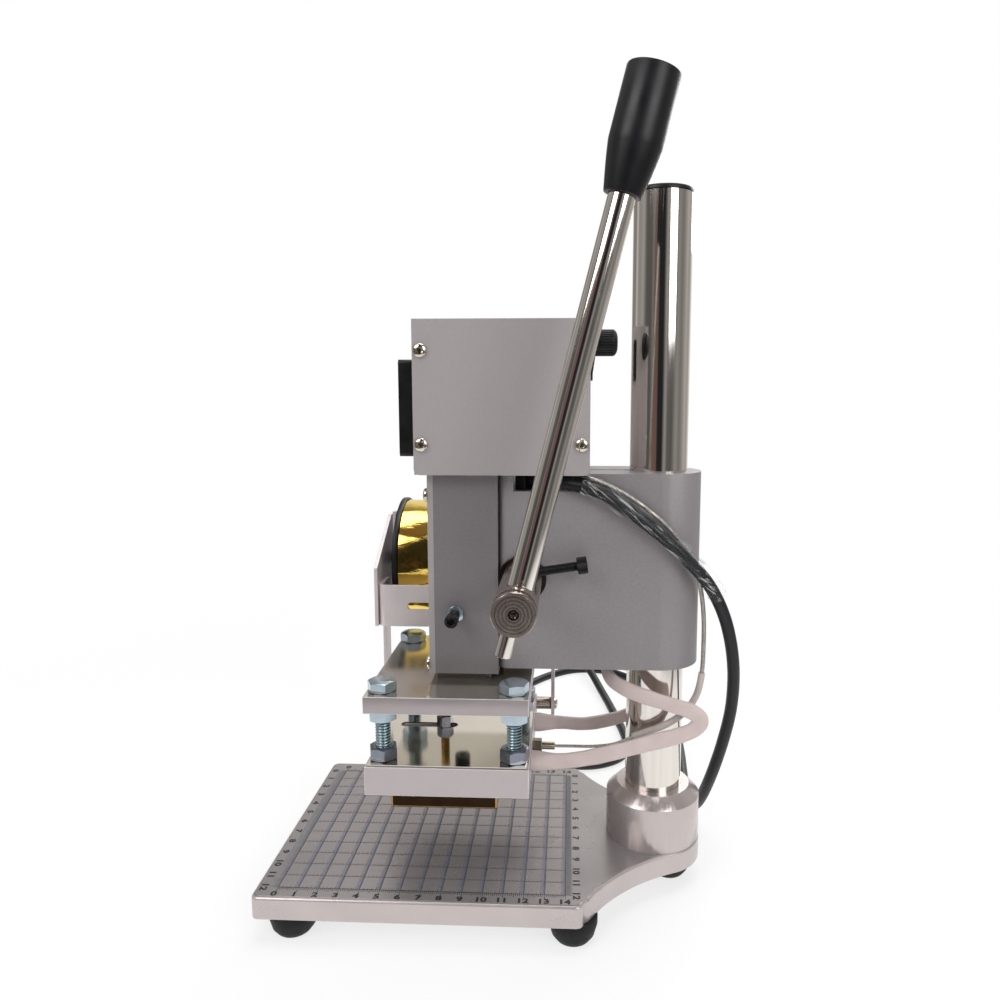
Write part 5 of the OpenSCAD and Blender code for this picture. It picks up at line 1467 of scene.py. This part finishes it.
THERMO_ROUTE = [
    (6, 33.1, 73.7), (6.5, 42, 74), (10.5, 54, 76), (16.5, 65, 80.5), (19, 77, 87), (18.8, 90, 92),
    (17.8, 100, 98.5), (17, 106.5, 108), (17, 109, 120), (17, 109.5, 134), (16.6, 109.3, 149),
    (16.8, 107.6, 163), (18.8, 104, 177), (22.5, 97, 188), (25, 88, 198.5), (25.3, 76, 208.5),
    (25, 66, 214.8), (24.8, 57, 219), (24.3, 49.5, 221.5), (18, 43, 221.4), (9, 38, 221.4)]


def sleeve_section(share, length):
    """Flattened tube, pushed over the heater's round end and narrower where it enters the arm."""
    round_r, less_w, less_t = 5.15, 1.15, 3.75
    flat_from, flat_over, tuck_share = 2.5 * MM, 9 * MM, 0.06
    flat = min(1.0, max(0.0, (length - flat_from) / flat_over))
    tuck = min(1.0, (1 - share) / tuck_share)
    half_w = (round_r - less_w * flat) * (0.8 + 0.2 * tuck) * MM
    half_t = (round_r - less_t * flat) * MM
    sway = 1 + 0.03 * math.sin(length / MM * 0.21) + 0.015 * math.sin(length / MM * 0.57 + 1)
    boxy = 1 - 0.45 * flat
    points = []
    for angle in angles(32):
        across = math.copysign(abs(math.cos(angle)) ** boxy, math.cos(angle))
        along = math.copysign(abs(math.sin(angle)) ** boxy, math.sin(angle))
        points.append((half_t * across * sway, half_w * along * sway))
    return points


THERMO_WIRE_R = 0.8 * MM
BRAID_R = 1.15 * MM
SHRINK_R = 1.75 * MM
SHRINK_FROM_Z = 85 * MM
SHRINK_TO_Z = 121 * MM


def lead_pieces():
    shape = Shape()
    heater_face = Vector((0, high("heater_block").y + 0.1 * MM, 0))
    for route, side in ((LEAD_NEAR, Vector((1, 0, 0.15))), (LEAD_FAR, Vector((-1, 0, 0.15)))):
        path = spline_path(machine_points(route), 8)
        path.insert(0, Vector((path[0].x, heater_face.y, path[0].z)))
        shape.rings(sweep(path, sleeve_section, side))
    sleeves = piece("heater_lead_sleeves", shape, "glass_sleeve", None,
                    ["heater_leads"])
    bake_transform(sleeves)

    path = spline_path(machine_points(THERMO_ROUTE), 8)
    lower = [point for point in path if point.z < SHRINK_TO_Z]
    upper = [point for point in path if point.z >= SHRINK_FROM_Z]
    braid = Shape()
    braid.rings(sweep(lower, round_section(THERMO_WIRE_R, 12)))
    braid.rings(sweep(upper, round_section(BRAID_R, 14)))
    wire = piece("thermocouple_braid", braid, "steel_braid", None,
                 ["thermocouple_lead"])
    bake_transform(wire)
    covered = [point for point in path if SHRINK_FROM_Z <= point.z <= SHRINK_TO_Z]
    shrink = Shape().rings(sweep(covered, round_section(SHRINK_R, 18)))
    tube = piece("thermocouple_heat_shrink", shrink, "heat_shrink", None)
    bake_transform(tube)


lead_pieces()
